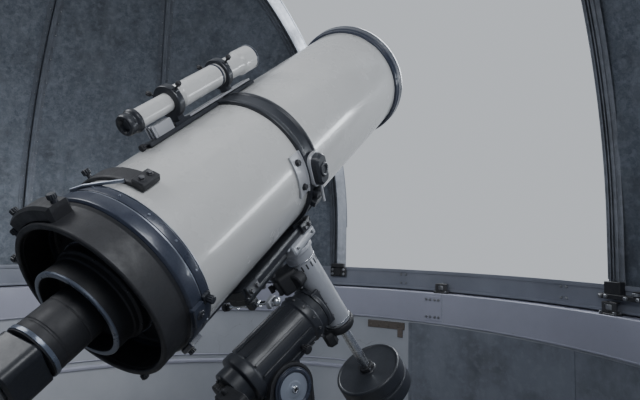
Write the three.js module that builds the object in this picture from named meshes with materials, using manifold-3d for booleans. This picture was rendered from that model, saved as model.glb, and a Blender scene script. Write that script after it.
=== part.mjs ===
// A small observatory: a drum wall with a fixed track ring, a rotating sheet-metal dome with an open
// slit, and the Cassegrain telescope on its German equatorial mount and steel pier.
// Millimetres, +Z up, the origin on the ground at the dome's axis, the slit facing -Y.
import * as THREE from "three";
import { mergeVertices } from "three/addons/utils/BufferGeometryUtils.js";
import Module from "manifold-3d";

const wasm = await Module();
wasm.setup();

const DEG = Math.PI / 180;
const TOUCH = 0.3;
const ROUND_SEAT = 1.1;
const RUNNING_GAP = 0.6;

// Drum wall, floor and doorway
const RING_TOP = 2300;
const RING_HEIGHT = 238;
const RING_INNER = 2450;
const RING_OUTER = 2600;
const RING_BOTTOM = RING_TOP - RING_HEIGHT;
const WALL_INNER = 2466;
const WALL_OUTER = 2606;
const FLOOR_TOP = 120;
const WALL_STEP = 7.2 * DEG;
const FLOOR_RADIUS = WALL_INNER * Math.cos(WALL_STEP / 2) - TOUCH;
const FLOOR_GAP = 12;
const DOOR_WIDTH = 800;
const DOOR_TOP = 1940;
const DOOR_FRAME = 45;
const DOOR_LEAF = 42;
const RING_SIDES = 48;
const LARGE_SIDES = 32;
const ROUND_SIDES = 20;
const SMALL_SIDES = 10;
const TURN_STEP = (2 * Math.PI) / RING_SIDES;

// Rollers on the track ring
const ROLLER_COUNT = 12;
const FIRST_ROLLER = 3.8 * DEG;
const ROLLER_RADIUS = 60;
const ROLLER_WIDTH = 36;
const ROLLER_CENTRE = 2572;
const GUIDE_CENTRE = 2503;
const GUIDE_RADIUS = 30;
const SPLICE_COUNT = 6;
const FIRST_SPLICE = 5.1 * DEG;
const RING_CUT = FIRST_ROLLER + Math.PI / ROLLER_COUNT;

// Dome
const SILL = RING_TOP + 166;
const SPRING = RING_TOP + 531;
const DOME_RUNNING_GAP = 10;
const SKIRT_INNER = 2541;
const SHELL_INNER = 2566;
const SHELL_OUTER = 2602;
const SHELL_TOP = 74 * DEG;
const SHELL_STEPS = 8;
const APRON_INNER = 2618;
const APRON_OUTER = 2624;
const APRON_DROP = 140;
const RIB_DEPTH = 36;
const RIB_WIDTH = 30;
const SEAM_RIBS = [63.8, 110.3, 156.8];
const PANEL_RIBS = [87, 133.5];
const HANDS = [["left", -1], ["right", 1]];
const SLIT_HALF = 1091;
const ARCH_STEP = 7 * DEG;
const HEAD_STEPS = 16;
const GIRDER_WIDTH = 80;
const GIRDER_INNER_SPHERE = 2530;
const GIRDER_OUTER_SPHERE = 2640;
const HEAD_BEAM_DEPTH = 80;
const GROOVE_PLACE = 26;
const GROOVE_WIDTH = 24;
const GROOVE_DEPTH = 14;

// Parked shutters and their rails
const RAIL_STEPS = 25;
const LOW_RAIL_X = 1116;
const LOW_RAIL_TOP = 2405;
const HIGH_RAIL_X = 1146;
const HIGH_RAIL_TOP = 2460;
const RAIL_WIDTH = 30;
const LEAF_STEPS = [16, 25];
const LEAF_ACROSS = 6;
const LEAF_THICKNESS = 18;
const UPPER_LEAF_RADIUS = 2668;
const LOWER_LEAF_RADIUS = 2738;

// Mount: where the two axes cross, and how the polar axis stands
const AXES_CROSS = [-595.2, -323.7, RING_TOP + 190.3];
const POLAR_ELEVATION = 37.26 * DEG;
const POLAR_TURN = -8.66 * DEG;
const POLAR_HOUSING_RADIUS = 95;
const POLAR_HOUSING_TOP = -76;
const POLAR_HOUSING_END = -490;
const POLAR_SHAFT_RADIUS = 38;
const POLAR_BARREL_END = -440;
const ALTITUDE_PIVOT = { along: -339, below: 108 };
const LUG_HALF = 70;
const LUG_RADIUS = 72;
const CHEEK_INNER = 72;
const CHEEK_OUTER = 98;
const CHEEK_RADIUS = 88;
const PIVOT_DISC_RADIUS = 74;
const PIVOT_PIN = 30;
const PIVOT_CAP = 14;
const PIVOT_BOLT = 13;
const PIER_RADIUS = 140;
const PIER_CAP_RADIUS = 166;
const PIER_CAP = 24;
const PIER_COLLAR_RADIUS = 172;
const PIER_COLLAR = 22;
const PIER_TOP = RING_TOP - 330;

// Declination axis, distances measured from the tube's axis
const AXIS_OFFSET = 580;
const SADDLE_HALF = 70;
const SADDLE_TOP = 264;
const SADDLE_BOTTOM = 300;
const DEC_FLANGE_END = 340;
const DEC_FLANGE_RADIUS = 66;
const DEC_HOUSING_START = 379;
const DEC_HOUSING_END = 700;
const DEC_COLLAR_END = 740;
const DEC_HOUSING_RADIUS = 52;
const DEC_COLLAR_RADIUS = 62;
const DEC_SHAFT_RADIUS = 20;
const TANGENT_OFFSET = 360;
const TANGENT_PLACE = 330;
const TANGENT_NEAR = -107;
const TANGENT_FAR = 143;
const TANGENT_BALL = 15;
const TANGENT_ROD = 7;
const WEIGHT_START = 960;
const WEIGHT_END = 1085;
const WEIGHT_RADIUS = 140;
const WEIGHT_EDGE = 6;

// Telescope tube, distances measured along the tube from the back of the rear ring
const TUBE_TURN = 16.62 * DEG;
const TUBE_PIVOT = 629;
const TUBE_RADIUS = 245;
const TUBE_WALL = 6;
const TUBE_SEAM = (-7 * 2 * Math.PI) / LARGE_SIDES;
const TUBE_HALVES = [
  ["lower", 1],
  ["upper", -1],
];
const REAR_RING_FRONT = 72;
const REAR_SEAM = 42;
const REAR_RING_RADIUS = 253;
const REAR_BORE = 224;
const REAR_RIM_BACK = -88;
const REAR_RIM_RADIUS = 240;
const REAR_CLAMP_ANGLE = -178 * DEG;
const REAR_KNOB_RADIUS = 11;
const REAR_KNOBS = [
  { angle: -61 * DEG, place: 58, from: REAR_RING_RADIUS - 6, to: REAR_RING_RADIUS + 24 },
  { angle: -59 * DEG, place: 14, from: REAR_RING_RADIUS - 6, to: REAR_RING_RADIUS + 12 },
  { angle: -16 * DEG, place: 14, from: REAR_RING_RADIUS - 6, to: REAR_RING_RADIUS + 20 },
  { angle: 6 * DEG, place: -74, from: REAR_RIM_RADIUS - 6, to: REAR_RIM_RADIUS + 24 },
  { angle: 130 * DEG, place: -74, from: REAR_RIM_RADIUS - 6, to: REAR_RIM_RADIUS + 36 },
  { angle: 158 * DEG, place: -74, from: REAR_RIM_RADIUS - 6, to: REAR_RIM_RADIUS + 24 },
];
const FRONT_RING_START = 1479;
const FRONT_RING_END = 1541;
const FRONT_RING_RADIUS = 261;
const CRADLE_START = 617;
const CRADLE_END = 697;
const CRADLE_RADIUS = 259;
const EAR_ANGLE = -71 * DEG;
const EAR_HALF = 55;
const LATCH_ANGLE = -74 * DEG;
const LATCH_HALF = 17 * DEG;
const LATCH_START = 560;
const LATCH_THICK = 12;
const BACK_PLATE_START = 12;
const BACK_PLATE = 20;
const BACK_PLATE_BORE = 60;
const MIRROR_RADIUS = 214;
const MIRROR_BORE = 50;
const MIRROR_THICK = 42;
const FOCUSER_RIM = -125;
const FOCUSER_RADIUS = 130;
const DRAW_TUBE_RADIUS = 72;
const DIAGONAL_TURN = 31.5 * DEG;
const DIAGONAL_END = -250;
const DIAGONAL_MIDDLE = -298;
const DIAGONAL_HALF = 60;
const HOLDER_END = 112;
const EYEPIECE_END = 195;
const STRAP_START = 108;
const STRAP_END = 164;
const STRAP_HALF = 46 * DEG;
const STRAP_THICK = 11;
const FINDER_OFFSET = 330;
const FINDER_ANGLE = 188 * DEG;
const FINDER_RADIUS = 38;
const FINDER_REAR_RADIUS = 29;
const FINDER_EYE_RADIUS = 32;
const FINDER_BAR_TOP = 268;
const FINDER_PLACES = {
  eyeStart: 262,
  tubeStart: 300,
  stepPlace: 480,
  hoodStart: 800,
  end: 885,
  rings: [[450, FINDER_REAR_RADIUS], [700, FINDER_RADIUS]],
  barStart: 295,
  barEnd: 830,
};
const HUB_RADIUS = 66;
const HUB_PLACES = { back: 1400, vaneBack: 1440, vaneFront: 1480, front: 1486 };

const finish = (color, roughness, metalness) =>
  new THREE.MeshStandardMaterial({ color, roughness, metalness });
const FINISHES = {
  plaster: finish(0xcfccc4, 0.9, 0),
  concrete: finish(0x9a9891, 0.9, 0),
  lining: finish(0x6f7680, 0.5, 0.7),
  paleSteel: finish(0xa9adc2, 0.45, 0.3),
  castIron: finish(0x17191f, 0.45, 0.3),
  cream: finish(0xcfcdc6, 0.25, 0),
  greyCasting: finish(0x8d9098, 0.4, 0.4),
  brightSteel: finish(0xc4c8cf, 0.25, 0.9),
  doorPaint: finish(0x6c7480, 0.6, 0),
  mirror: finish(0xd8dde2, 0.05, 1),
};

// Solids and meshes

function solid(geometry) {
  const bare = geometry.index ? geometry.toNonIndexed() : geometry.clone();
  bare.deleteAttribute("normal");
  bare.deleteAttribute("uv");
  const merged = facingOut(mergeVertices(bare, 1e-3));
  return new wasm.Manifold(
    new wasm.Mesh({
      numProp: 3,
      vertProperties: new Float32Array(merged.attributes.position.array),
      triVerts: new Uint32Array(merged.index.array),
    }),
  );
}

function geometryOf(manifold) {
  const mesh = manifold.getMesh();
  const geometry = new THREE.BufferGeometry();
  geometry.setAttribute("position", new THREE.BufferAttribute(mesh.vertProperties, 3));
  geometry.setIndex(new THREE.BufferAttribute(mesh.triVerts, 1));
  return geometry;
}

const join = (...solids) => solids.reduce((whole, piece) => whole.add(piece));
const cut = (whole, ...pieces) => pieces.reduce((left, piece) => left.subtract(piece), whole);

function piece(name, shape, material) {
  const geometry = geometryOf(shape.isBufferGeometry ? solid(shape) : shape);
  const mesh = new THREE.Mesh(geometry, material);
  mesh.name = name;
  return mesh;
}

// A block between two corners.
function block(low, high) {
  const size = high.map((value, i) => value - low[i]);
  const geometry = new THREE.BoxGeometry(...size);
  geometry.translate(...high.map((value, i) => (value + low[i]) / 2));
  return geometry;
}

// A body turned about Z from a closed outline of [radius, height] points.
function turned(outline, sides = RING_SIDES) {
  const points = [...outline, outline[0]].map(([r, h]) => new THREE.Vector2(r, h));
  const geometry = new THREE.LatheGeometry(points, sides);
  geometry.rotateX(Math.PI / 2);
  return geometry;
}

// A round bar or disc about Z between two heights.
function rod(radius, from, to, sides = ROUND_SIDES) {
  const geometry = new THREE.CylinderGeometry(radius, radius, to - from, sides);
  geometry.rotateX(Math.PI / 2);
  geometry.translate(0, 0, (from + to) / 2);
  return geometry;
}

// A ring about Z: an annulus from one height to another.
const hoop = (inner, outer, from, to, sides = LARGE_SIDES) =>
  turned([[inner, from], [outer, from], [outer, to], [inner, to]], sides);

// An outline of [radius, height] points swept about Z between two azimuths, counted from -Y towards
// +X, and closed at both ends.
function swept(outline, from, to, step = TURN_STEP) {
  const count = Math.max(1, Math.round((to - from) / step));
  const sides = outline.length;
  const positions = [];
  for (let i = 0; i <= count; i += 1) {
    const azimuth = from + ((to - from) * i) / count;
    for (const [r, h] of outline) positions.push(r * Math.sin(azimuth), -r * Math.cos(azimuth), h);
  }
  const faces = [];
  for (let i = 0; i < count; i += 1)
    for (let j = 0; j < sides; j += 1) {
      const next = (j + 1) % sides;
      const a = i * sides + j;
      const b = i * sides + next;
      faces.push(a, a + sides, b, b, a + sides, b + sides);
    }
  const caps = THREE.ShapeUtils.triangulateShape(
    outline.map(([r, h]) => new THREE.Vector2(r, h)),
    [],
  );
  const last = count * sides;
  for (const [a, b, c] of caps) faces.push(a, b, c, last + a, last + c, last + b);
  const geometry = new THREE.BufferGeometry();
  geometry.setAttribute("position", new THREE.Float32BufferAttribute(positions, 3));
  geometry.setIndex(faces);
  return geometry;
}

// Turns a closed mesh's faces outwards where its outline was drawn the other way round.
function facingOut(geometry) {
  const points = geometry.attributes.position;
  const index = geometry.index.array;
  const [a, b, c] = [new THREE.Vector3(), new THREE.Vector3(), new THREE.Vector3()];
  let volume = 0;
  for (let i = 0; i < index.length; i += 3) {
    a.fromBufferAttribute(points, index[i]);
    b.fromBufferAttribute(points, index[i + 1]);
    c.fromBufferAttribute(points, index[i + 2]);
    volume += a.dot(b.cross(c));
  }
  if (volume < 0)
    for (let i = 0; i < index.length; i += 3)
      [index[i + 1], index[i + 2]] = [index[i + 2], index[i + 1]];
  return geometry;
}

// Points on an arc of [across, up] about a centre at (0, height), angles counted from -across to up.
function arc(radius, from, to, steps, height = 0) {
  const points = [];
  for (let i = 0; i <= steps; i += 1) {
    const angle = from + ((to - from) * i) / steps;
    points.push([-radius * Math.cos(angle), height + radius * Math.sin(angle)]);
  }
  return points;
}

// A flat outline of [y, z] points, extruded along X.
function plateAlongX(outline, from, to) {
  const shape = new THREE.Shape(outline.map(([y, z]) => new THREE.Vector2(y, z)));
  const geometry = new THREE.ExtrudeGeometry(shape, { depth: to - from, bevelEnabled: false });
  geometry.rotateY(Math.PI / 2);
  geometry.rotateX(Math.PI / 2);
  geometry.translate(from, 0, 0);
  return geometry;
}

// A flat outline of [x, z] points, extruded along Y.
function plateAlongY(outline, from, to) {
  const shape = new THREE.Shape(outline.map(([x, z]) => new THREE.Vector2(x, z)));
  const geometry = new THREE.ExtrudeGeometry(shape, { depth: to - from, bevelEnabled: false });
  geometry.rotateX(Math.PI / 2);
  geometry.translate(0, to, 0);
  return geometry;
}

const atAzimuth = (geometry, azimuth) => geometry.clone().rotateZ(azimuth);

// A ring in two halves that meet at one azimuth and opposite it: the left one and the right one,
// unless other words are given for them.
const halves = (name, ring, azimuth, material, words = HANDS) =>
  words.map(([word, sign]) =>
    piece(
      `${name}_${word}`,
      ring.trimByPlane([sign * Math.cos(azimuth), sign * Math.sin(azimuth), 0], TOUCH / 2),
      material,
    ),
  );
const inPlane = (sphere, x) => Math.sqrt(sphere * sphere - x * x);

// Drum wall, floor, door and track ring

const doorHalf = DOOR_WIDTH / 2 + DOOR_FRAME;

function drumWall() {
  const wall = [
    [WALL_INNER, 0],
    [WALL_OUTER, 0],
    [WALL_OUTER, RING_BOTTOM - TOUCH],
    [WALL_INNER, RING_BOTTOM - TOUCH],
  ];
  const joint = (TOUCH / WALL_OUTER) * 0.6;
  const spans = { front: [-36, 36], right: [36, 108], left: [-108, -36] };
  const pieces = Object.entries(spans).map(([side, [from, to]]) =>
    piece(`wall_${side}`, swept(wall, from * DEG + joint, to * DEG - joint, WALL_STEP), FINISHES.plaster),
  );
  const doorway = solid(
    block([-doorHalf, 2000, -10], [doorHalf, 3000, RING_BOTTOM + 10]),
  );
  const rear = { right: [108, 180], left: [180, 252] };
  for (const [side, [from, to]] of Object.entries(rear))
    pieces.push(
      piece(
        `wall_rear_${side}`,
        cut(solid(swept(wall, from * DEG + joint, to * DEG - joint, WALL_STEP)), doorway),
        FINISHES.plaster,
      ),
    );
  const overDoor = solid(
    block(
      [-doorHalf + TOUCH, 2000, DOOR_TOP + DOOR_FRAME],
      [doorHalf - TOUCH, 3000, RING_BOTTOM - TOUCH],
    ),
  );
  pieces.push(
    piece(
      "wall_over_door",
      solid(swept(wall, 165 * DEG, 195 * DEG)).intersect(overDoor),
      FINISHES.plaster,
    ),
  );
  return pieces;
}

function floor() {
  const pierHole = solid(
    rod(PIER_RADIUS + FLOOR_GAP, -10, FLOOR_TOP + 10, ROUND_SIDES).translate(pierX, pierY, 0),
  );
  return piece(
    "floor_slab",
    cut(solid(rod(FLOOR_RADIUS, 0, FLOOR_TOP, RING_SIDES)), pierHole),
    FINISHES.concrete,
  );
}

function door() {
  const front = WALL_INNER + 10;
  const back = WALL_OUTER - 25;
  const opening = DOOR_WIDTH / 2;
  const frame = cut(
    solid(
      block(
        [-doorHalf + TOUCH, front, 0],
        [doorHalf - TOUCH, back, DOOR_TOP + DOOR_FRAME - TOUCH],
      ),
    ),
    solid(block([-opening, front - 10, FLOOR_TOP], [opening, back + 10, DOOR_TOP])),
  );
  const leafGap = 3;
  const leafBack = back - 8;
  const leaf = block(
    [-opening + leafGap, leafBack - DOOR_LEAF, FLOOR_TOP + TOUCH],
    [opening - leafGap, leafBack, DOOR_TOP - leafGap],
  );
  const lock = { x: opening - 57, z: FLOOR_TOP + 1000, half: 18, height: 90, reach: 44 };
  const lever = { length: 113, half: 10, thick: 16 };
  const handle = join(
    solid(
      block(
        [lock.x - lock.half, leafBack - 1, lock.z - lock.height],
        [lock.x + lock.half, leafBack + 4, lock.z + lock.height],
      ),
    ),
    solid(
      rod(lever.half, leafBack + 2, leafBack + lock.reach, SMALL_SIDES)
        .rotateX(-Math.PI / 2)
        .translate(lock.x, 0, lock.z),
    ),
    solid(
      block(
        [lock.x - lever.length, leafBack + lock.reach - lever.thick / 2, lock.z - lever.half],
        [lock.x + lever.half, leafBack + lock.reach + lever.thick / 2, lock.z + lever.half],
      ),
    ),
  );
  return [
    piece("door_frame", frame, FINISHES.doorPaint),
    piece("door_leaf", join(solid(leaf), handle), FINISHES.doorPaint),
  ];
}

function trackRing() {
  const flange = 12;
  const web = 10;
  let ring = solid(
    turned([
      [RING_INNER, RING_BOTTOM],
      [RING_OUTER, RING_BOTTOM],
      [RING_OUTER, RING_BOTTOM + flange],
      [RING_INNER + web, RING_BOTTOM + flange],
      [RING_INNER + web, RING_TOP - flange],
      [RING_OUTER, RING_TOP - flange],
      [RING_OUTER, RING_TOP],
      [RING_INNER, RING_TOP],
    ]),
  );
  const rollerHeight = RING_TOP + DOME_RUNNING_GAP - RUNNING_GAP - ROLLER_RADIUS;
  const wheelHalf = ROLLER_WIDTH / 2;
  const slotGap = 4;
  const slot = block(
    [-ROLLER_RADIUS - slotGap, -ROLLER_CENTRE - wheelHalf - slotGap, RING_TOP - flange - 1],
    [ROLLER_RADIUS + slotGap, -ROLLER_CENTRE + wheelHalf + slotGap, RING_TOP + 1],
  );
  const wheel = rod(ROLLER_RADIUS, -wheelHalf, wheelHalf, SMALL_SIDES)
    .rotateX(Math.PI / 2)
    .translate(0, -ROLLER_CENTRE, rollerHeight);
  const axleRadius = 14;
  const axleLength = ROLLER_CENTRE - RING_INNER * Math.cos(TURN_STEP / 2) - web / 2;
  const axle = rod(axleRadius, 0, axleLength, 6)
    .rotateX(Math.PI / 2)
    .translate(0, -ROLLER_CENTRE + axleLength, rollerHeight);
  const footHalf = 60;
  const footTop = RING_TOP + 16;
  const foot = block(
    [-footHalf, -GUIDE_CENTRE - 20, RING_TOP - 2],
    [footHalf, -RING_INNER - 8, footTop],
  );
  const yoke = block(
    [-footHalf + 6, -GUIDE_CENTRE - 14, footTop - 6],
    [footHalf - 6, -GUIDE_CENTRE + 24, RING_TOP + 78],
  );
  const guide = rod(GUIDE_RADIUS, footTop + 12, footTop + 46, SMALL_SIDES).translate(0, -GUIDE_CENTRE, 0);
  for (let i = 0; i < ROLLER_COUNT; i += 1) {
    const azimuth = FIRST_ROLLER + (i * 2 * Math.PI) / ROLLER_COUNT;
    ring = ring.subtract(solid(atAzimuth(slot, azimuth)));
    for (const part of [wheel, axle, foot, yoke, guide])
      ring = ring.add(solid(atAzimuth(part, azimuth)));
  }
  const spliceHalf = 72;
  const splice = block(
    [-spliceHalf, -RING_INNER - 4, RING_BOTTOM + 22],
    [spliceHalf, -RING_INNER + 8, RING_TOP - 20],
  );
  for (let i = 0; i < SPLICE_COUNT; i += 1)
    ring = ring.add(solid(atAzimuth(splice, FIRST_SPLICE + (i * 2 * Math.PI) / SPLICE_COUNT)));
  return halves("track_ring", ring, RING_CUT, FINISHES.paleSteel);
}

// Dome

// The dome's own ring: a channel that runs on the rollers, with the sill plate on top and the
// weather apron hanging outside it over the track ring.
function domeBase() {
  const bottom = RING_TOP + DOME_RUNNING_GAP;
  const sheet = 12;
  const ring = turned([
    [SKIRT_INNER, bottom],
    [RING_OUTER, bottom],
    [RING_OUTER, bottom + sheet],
    [SKIRT_INNER + 8, bottom + sheet],
    [SKIRT_INNER + 8, SILL - sheet],
    [APRON_INNER, SILL - sheet],
    [APRON_INNER, RING_TOP - APRON_DROP],
    [APRON_OUTER, RING_TOP - APRON_DROP],
    [APRON_OUTER, SILL],
    [SKIRT_INNER, SILL],
  ]);
  return halves("dome_base", solid(ring), 0, FINISHES.paleSteel);
}

// A meridian section between two sphere radii: upright below the spring line and curved above it.
function meridian(inner, outer, low) {
  const upTo = (radius) => arc(radius, 0, SHELL_TOP, SHELL_STEPS, SPRING).map(([r, h]) => [-r, h]);
  return [[inner, low], [outer, low], ...upTo(outer), ...upTo(inner).reverse()];
}

const girderSide = SLIT_HALF + GIRDER_WIDTH;
const girderMiddle = SLIT_HALF + GIRDER_WIDTH / 2;
const slitBack = -inPlane(SHELL_INNER, girderMiddle) * Math.cos(HEAD_STEPS * ARCH_STEP);
const beamBack = slitBack + HEAD_BEAM_DEPTH;
const slitBox = (side, back) => solid(block([-side, -4000, SILL - 50], [side, back, SPRING + 4000]));
const slitCut = slitBox(girderSide + TOUCH, beamBack + TOUCH);

// An arch in a plane across X: an arc of whole steps about the spring line's centre.
const arch = (radius, from, to) => arc(radius, from * ARCH_STEP, to * ARCH_STEP, to - from, SPRING);

// A thin rolled rib under the shell along the meridian at -Y, out to a given sphere radius.
const ribUnder = (outer) =>
  solid(
    plateAlongX(
      [
        [-SHELL_INNER + RIB_DEPTH, SILL + TOUCH],
        [-outer, SILL + TOUCH],
        ...arc(outer, 0, SHELL_TOP, SHELL_STEPS, SPRING),
        ...arc(SHELL_INNER - RIB_DEPTH, 0, SHELL_TOP, SHELL_STEPS, SPRING).reverse(),
      ],
      -RIB_WIDTH / 2,
      RIB_WIDTH / 2,
    ),
  );

// Each shell panel carries the rib at its own middle; the ribs at the seams are pieces of their own.
function shellPanels() {
  const section = meridian(SHELL_INNER, SHELL_OUTER, SILL + TOUCH);
  const seam = (TOUCH / SHELL_INNER) * 0.6;
  const edges = SEAM_RIBS.map((edge) => edge * DEG);
  const spans = [
    ["side", 20 * DEG, edges[0]],
    ["flank", edges[0], edges[1], PANEL_RIBS[0]],
    ["quarter", edges[1], edges[2], PANEL_RIBS[1]],
  ];
  const rolledRib = ribUnder(SHELL_INNER + 6);
  const pieces = [];
  for (const [name, from, to, rib] of spans)
    for (const [hand, sign] of HANDS) {
      const [low, high] = sign > 0 ? [from, to] : [-to, -from];
      let panel = solid(swept(section, low + seam, high - seam));
      if (rib) panel = panel.add(rolledRib.rotate([0, 0, sign * rib]));
      pieces.push(piece(`shell_${name}_${hand}`, cut(panel, slitCut), FINISHES.lining));
    }
  const rear = solid(swept(section, edges[2] + seam, 2 * Math.PI - edges[2] - seam));
  pieces.push(piece("shell_rear", cut(rear.add(rolledRib.rotate([0, 0, 180])), slitCut), FINISHES.lining));
  return pieces;
}

function seamRibs() {
  const rib = ribUnder(SHELL_INNER - ROUND_SEAT - TOUCH);
  const pieces = [];
  for (const [i, azimuth] of SEAM_RIBS.entries())
    for (const [hand, sign] of HANDS)
      pieces.push(
        piece(`seam_rib_${hand}_${i + 1}`, cut(rib.rotate([0, 0, sign * azimuth]), slitCut), FINISHES.lining),
      );
  return pieces;
}

// The two arch girders at the slit's sides, each with a groove facing inwards, and the beam between
// them at the slit's upper end.
function slitFrame() {
  const inner = inPlane(GIRDER_INNER_SPHERE, girderMiddle);
  const outer = inPlane(GIRDER_OUTER_SPHERE, girderMiddle);
  const outline = (low, high, foot) => [
    [-low, foot],
    [-high, foot],
    ...arch(high, 0, HEAD_STEPS + 1),
    ...arch(low, 0, HEAD_STEPS + 1).reverse(),
  ];
  const pieces = [];
  for (const [hand, sign] of HANDS) {
    const [from, to] = sign > 0 ? [SLIT_HALF, girderSide] : [-girderSide, -SLIT_HALF];
    const grooveX = sign * (SLIT_HALF + GROOVE_PLACE);
    const groove = solid(
      plateAlongX(
        outline(inner - 30, inner + GROOVE_DEPTH, SILL + 60),
        grooveX - GROOVE_WIDTH / 2,
        grooveX + GROOVE_WIDTH / 2,
      ),
    ).intersect(slitBox(girderSide, slitBack - 40));
    const girder = solid(plateAlongX(outline(inner, outer, SILL + TOUCH), from, to));
    pieces.push(
      piece(
        `slit_girder_${hand}`,
        cut(girder, groove).intersect(slitBox(girderSide, beamBack)),
        FINISHES.lining,
      ),
    );
  }
  const beamPlane = slitBack + HEAD_BEAM_DEPTH / 2;
  const beamInner = inPlane(GIRDER_INNER_SPHERE, beamPlane);
  const beamOuter = inPlane(GIRDER_OUTER_SPHERE - 8, beamPlane);
  const spread = Math.asin(SLIT_HALF / beamInner) + DEG;
  const beamArc = (radius) => arc(radius, Math.PI / 2 - spread, Math.PI / 2 + spread, 10, SPRING);
  const outlineOfBeam = [...beamArc(beamOuter), ...beamArc(beamInner).reverse()];
  const beam = solid(plateAlongY(outlineOfBeam, slitBack, beamBack));
  const between = slitBox(SLIT_HALF - TOUCH, 4000);
  pieces.push(piece("slit_head_beam", beam.intersect(between), FINISHES.lining));
  return pieces;
}

// The rails the shutters run on: a low one and a high one side by side, over girder and shell.
function shutterRails() {
  const girderTop = inPlane(GIRDER_OUTER_SPHERE, girderMiddle) + TOUCH;
  const onShell = inPlane(SHELL_OUTER, LOW_RAIL_X) + 3.5;
  const bar = (top) => [
    ...arch(top, 0, RAIL_STEPS),
    ...arch(onShell, HEAD_STEPS + 1, RAIL_STEPS).reverse(),
    ...arch(girderTop, 0, HEAD_STEPS + 1).reverse(),
  ];
  const low = solid(plateAlongX(bar(LOW_RAIL_TOP), LOW_RAIL_X, LOW_RAIL_X + RAIL_WIDTH));
  const high = solid(plateAlongX(bar(HIGH_RAIL_TOP), HIGH_RAIL_X, HIGH_RAIL_X + RAIL_WIDTH));
  const rail = join(low, high);
  return [
    piece("shutter_rail_right", rail, FINISHES.lining),
    piece("shutter_rail_left", rail.mirror([1, 0, 0]), FINISHES.lining),
  ];
}

// A shutter leaf: a piece of a sphere about the slit's hinge line, with an edge bar along each side
// that rests on a rail.
function shutterLeaf(name, radius, barFrom, barWidth, railTop) {
  const half = barFrom + barWidth;
  const [start, end] = LEAF_STEPS;
  const across = (sphere) =>
    Array.from({ length: LEAF_ACROSS + 1 }, (_, i) => {
      const x = half * ((2 * i) / LEAF_ACROSS - 1);
      return [inPlane(sphere, x), x];
    });
  const section = [...across(radius + LEAF_THICKNESS), ...across(radius).reverse()];
  const skin = solid(
    swept(section, start * ARCH_STEP, end * ARCH_STEP, ARCH_STEP)
      .rotateY(-Math.PI / 2)
      .translate(0, 0, SPRING),
  );
  const barTop = inPlane(radius + LEAF_THICKNESS, half) + 6;
  const bar = [...arch(barTop, start, end), ...arch(railTop + TOUCH, start, end).reverse()];
  const edge = (from, to) => solid(plateAlongX(bar, from, to));
  const leaf = join(skin, edge(barFrom, half), edge(-half, -barFrom));
  return piece(name, leaf, FINISHES.lining);
}

const shutters = () => [
  shutterLeaf("upper_shutter", UPPER_LEAF_RADIUS, LOW_RAIL_X - 2, 28, LOW_RAIL_TOP),
  shutterLeaf("lower_shutter", LOWER_LEAF_RADIUS, HIGH_RAIL_X, RAIL_WIDTH, HIGH_RAIL_TOP),
];

// Mount. Its frame has Z along the polar axis, X level, and -Y towards the counterweight.

const polarUp = new THREE.Vector3(0, -Math.cos(POLAR_ELEVATION), Math.sin(POLAR_ELEVATION));
const polarDown = new THREE.Vector3(0, -Math.sin(POLAR_ELEVATION), -Math.cos(POLAR_ELEVATION));
const upright = new THREE.Vector3(0, 0, 1);
polarUp.applyAxisAngle(upright, POLAR_TURN);
polarDown.applyAxisAngle(upright, POLAR_TURN);
const pivotPoint = new THREE.Vector3(...AXES_CROSS)
  .addScaledVector(polarUp, ALTITUDE_PIVOT.along)
  .addScaledVector(polarDown, ALTITUDE_PIVOT.below);
const pierX = pivotPoint.x;
const pierY = pivotPoint.y;

function mountFrame() {
  const frame = new THREE.Group();
  frame.position.set(...AXES_CROSS);
  frame.rotation.set(Math.PI / 2 - POLAR_ELEVATION, 0, POLAR_TURN, "ZXY");
  return frame;
}

function pier() {
  const column = join(
    solid(rod(PIER_RADIUS, 0, PIER_TOP - PIER_CAP, ROUND_SIDES)),
    solid(rod(PIER_COLLAR_RADIUS, FLOOR_TOP + 6, FLOOR_TOP + 6 + PIER_COLLAR, ROUND_SIDES)),
    solid(rod(PIER_CAP_RADIUS, PIER_TOP - PIER_CAP, PIER_TOP, ROUND_SIDES)),
  );
  return piece("pier", column.translate([pierX, pierY, 0]), FINISHES.castIron);
}

// The fork on the pier: a base plate and two cheeks that hold the altitude pivot.
function pierHead() {
  const rise = pivotPoint.z - PIER_TOP;
  const plateTop = 34;
  const footHalf = 120;
  const outline = [
    [-footHalf, plateTop - 4],
    [footHalf, plateTop - 4],
    [CHEEK_RADIUS, rise],
    ...arc(CHEEK_RADIUS, Math.PI, 0, 12, rise),
  ];
  const cheek = (from, to) => solid(plateAlongX(outline, from, to));
  const web = block([-CHEEK_INNER - 2, 60, plateTop - 4], [CHEEK_INNER + 2, 84, rise - 100]);
  const head = join(
    solid(rod(PIER_RADIUS + 20, TOUCH, plateTop, ROUND_SIDES)),
    cheek(CHEEK_INNER, CHEEK_OUTER),
    cheek(-CHEEK_OUTER, -CHEEK_INNER),
    solid(web),
  ).rotate([0, 0, POLAR_TURN / DEG]);
  const drill = rod(PIVOT_PIN + 1, -2 * CHEEK_OUTER, 2 * CHEEK_OUTER, ROUND_SIDES).rotateY(Math.PI / 2);
  const pinHole = solid(drill)
    .rotate([0, 0, POLAR_TURN / DEG])
    .translate([0, 0, rise]);
  return piece(
    "pier_head",
    cut(head, pinHole).translate([pierX, pierY, PIER_TOP]),
    FINISHES.castIron,
  );
}

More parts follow.
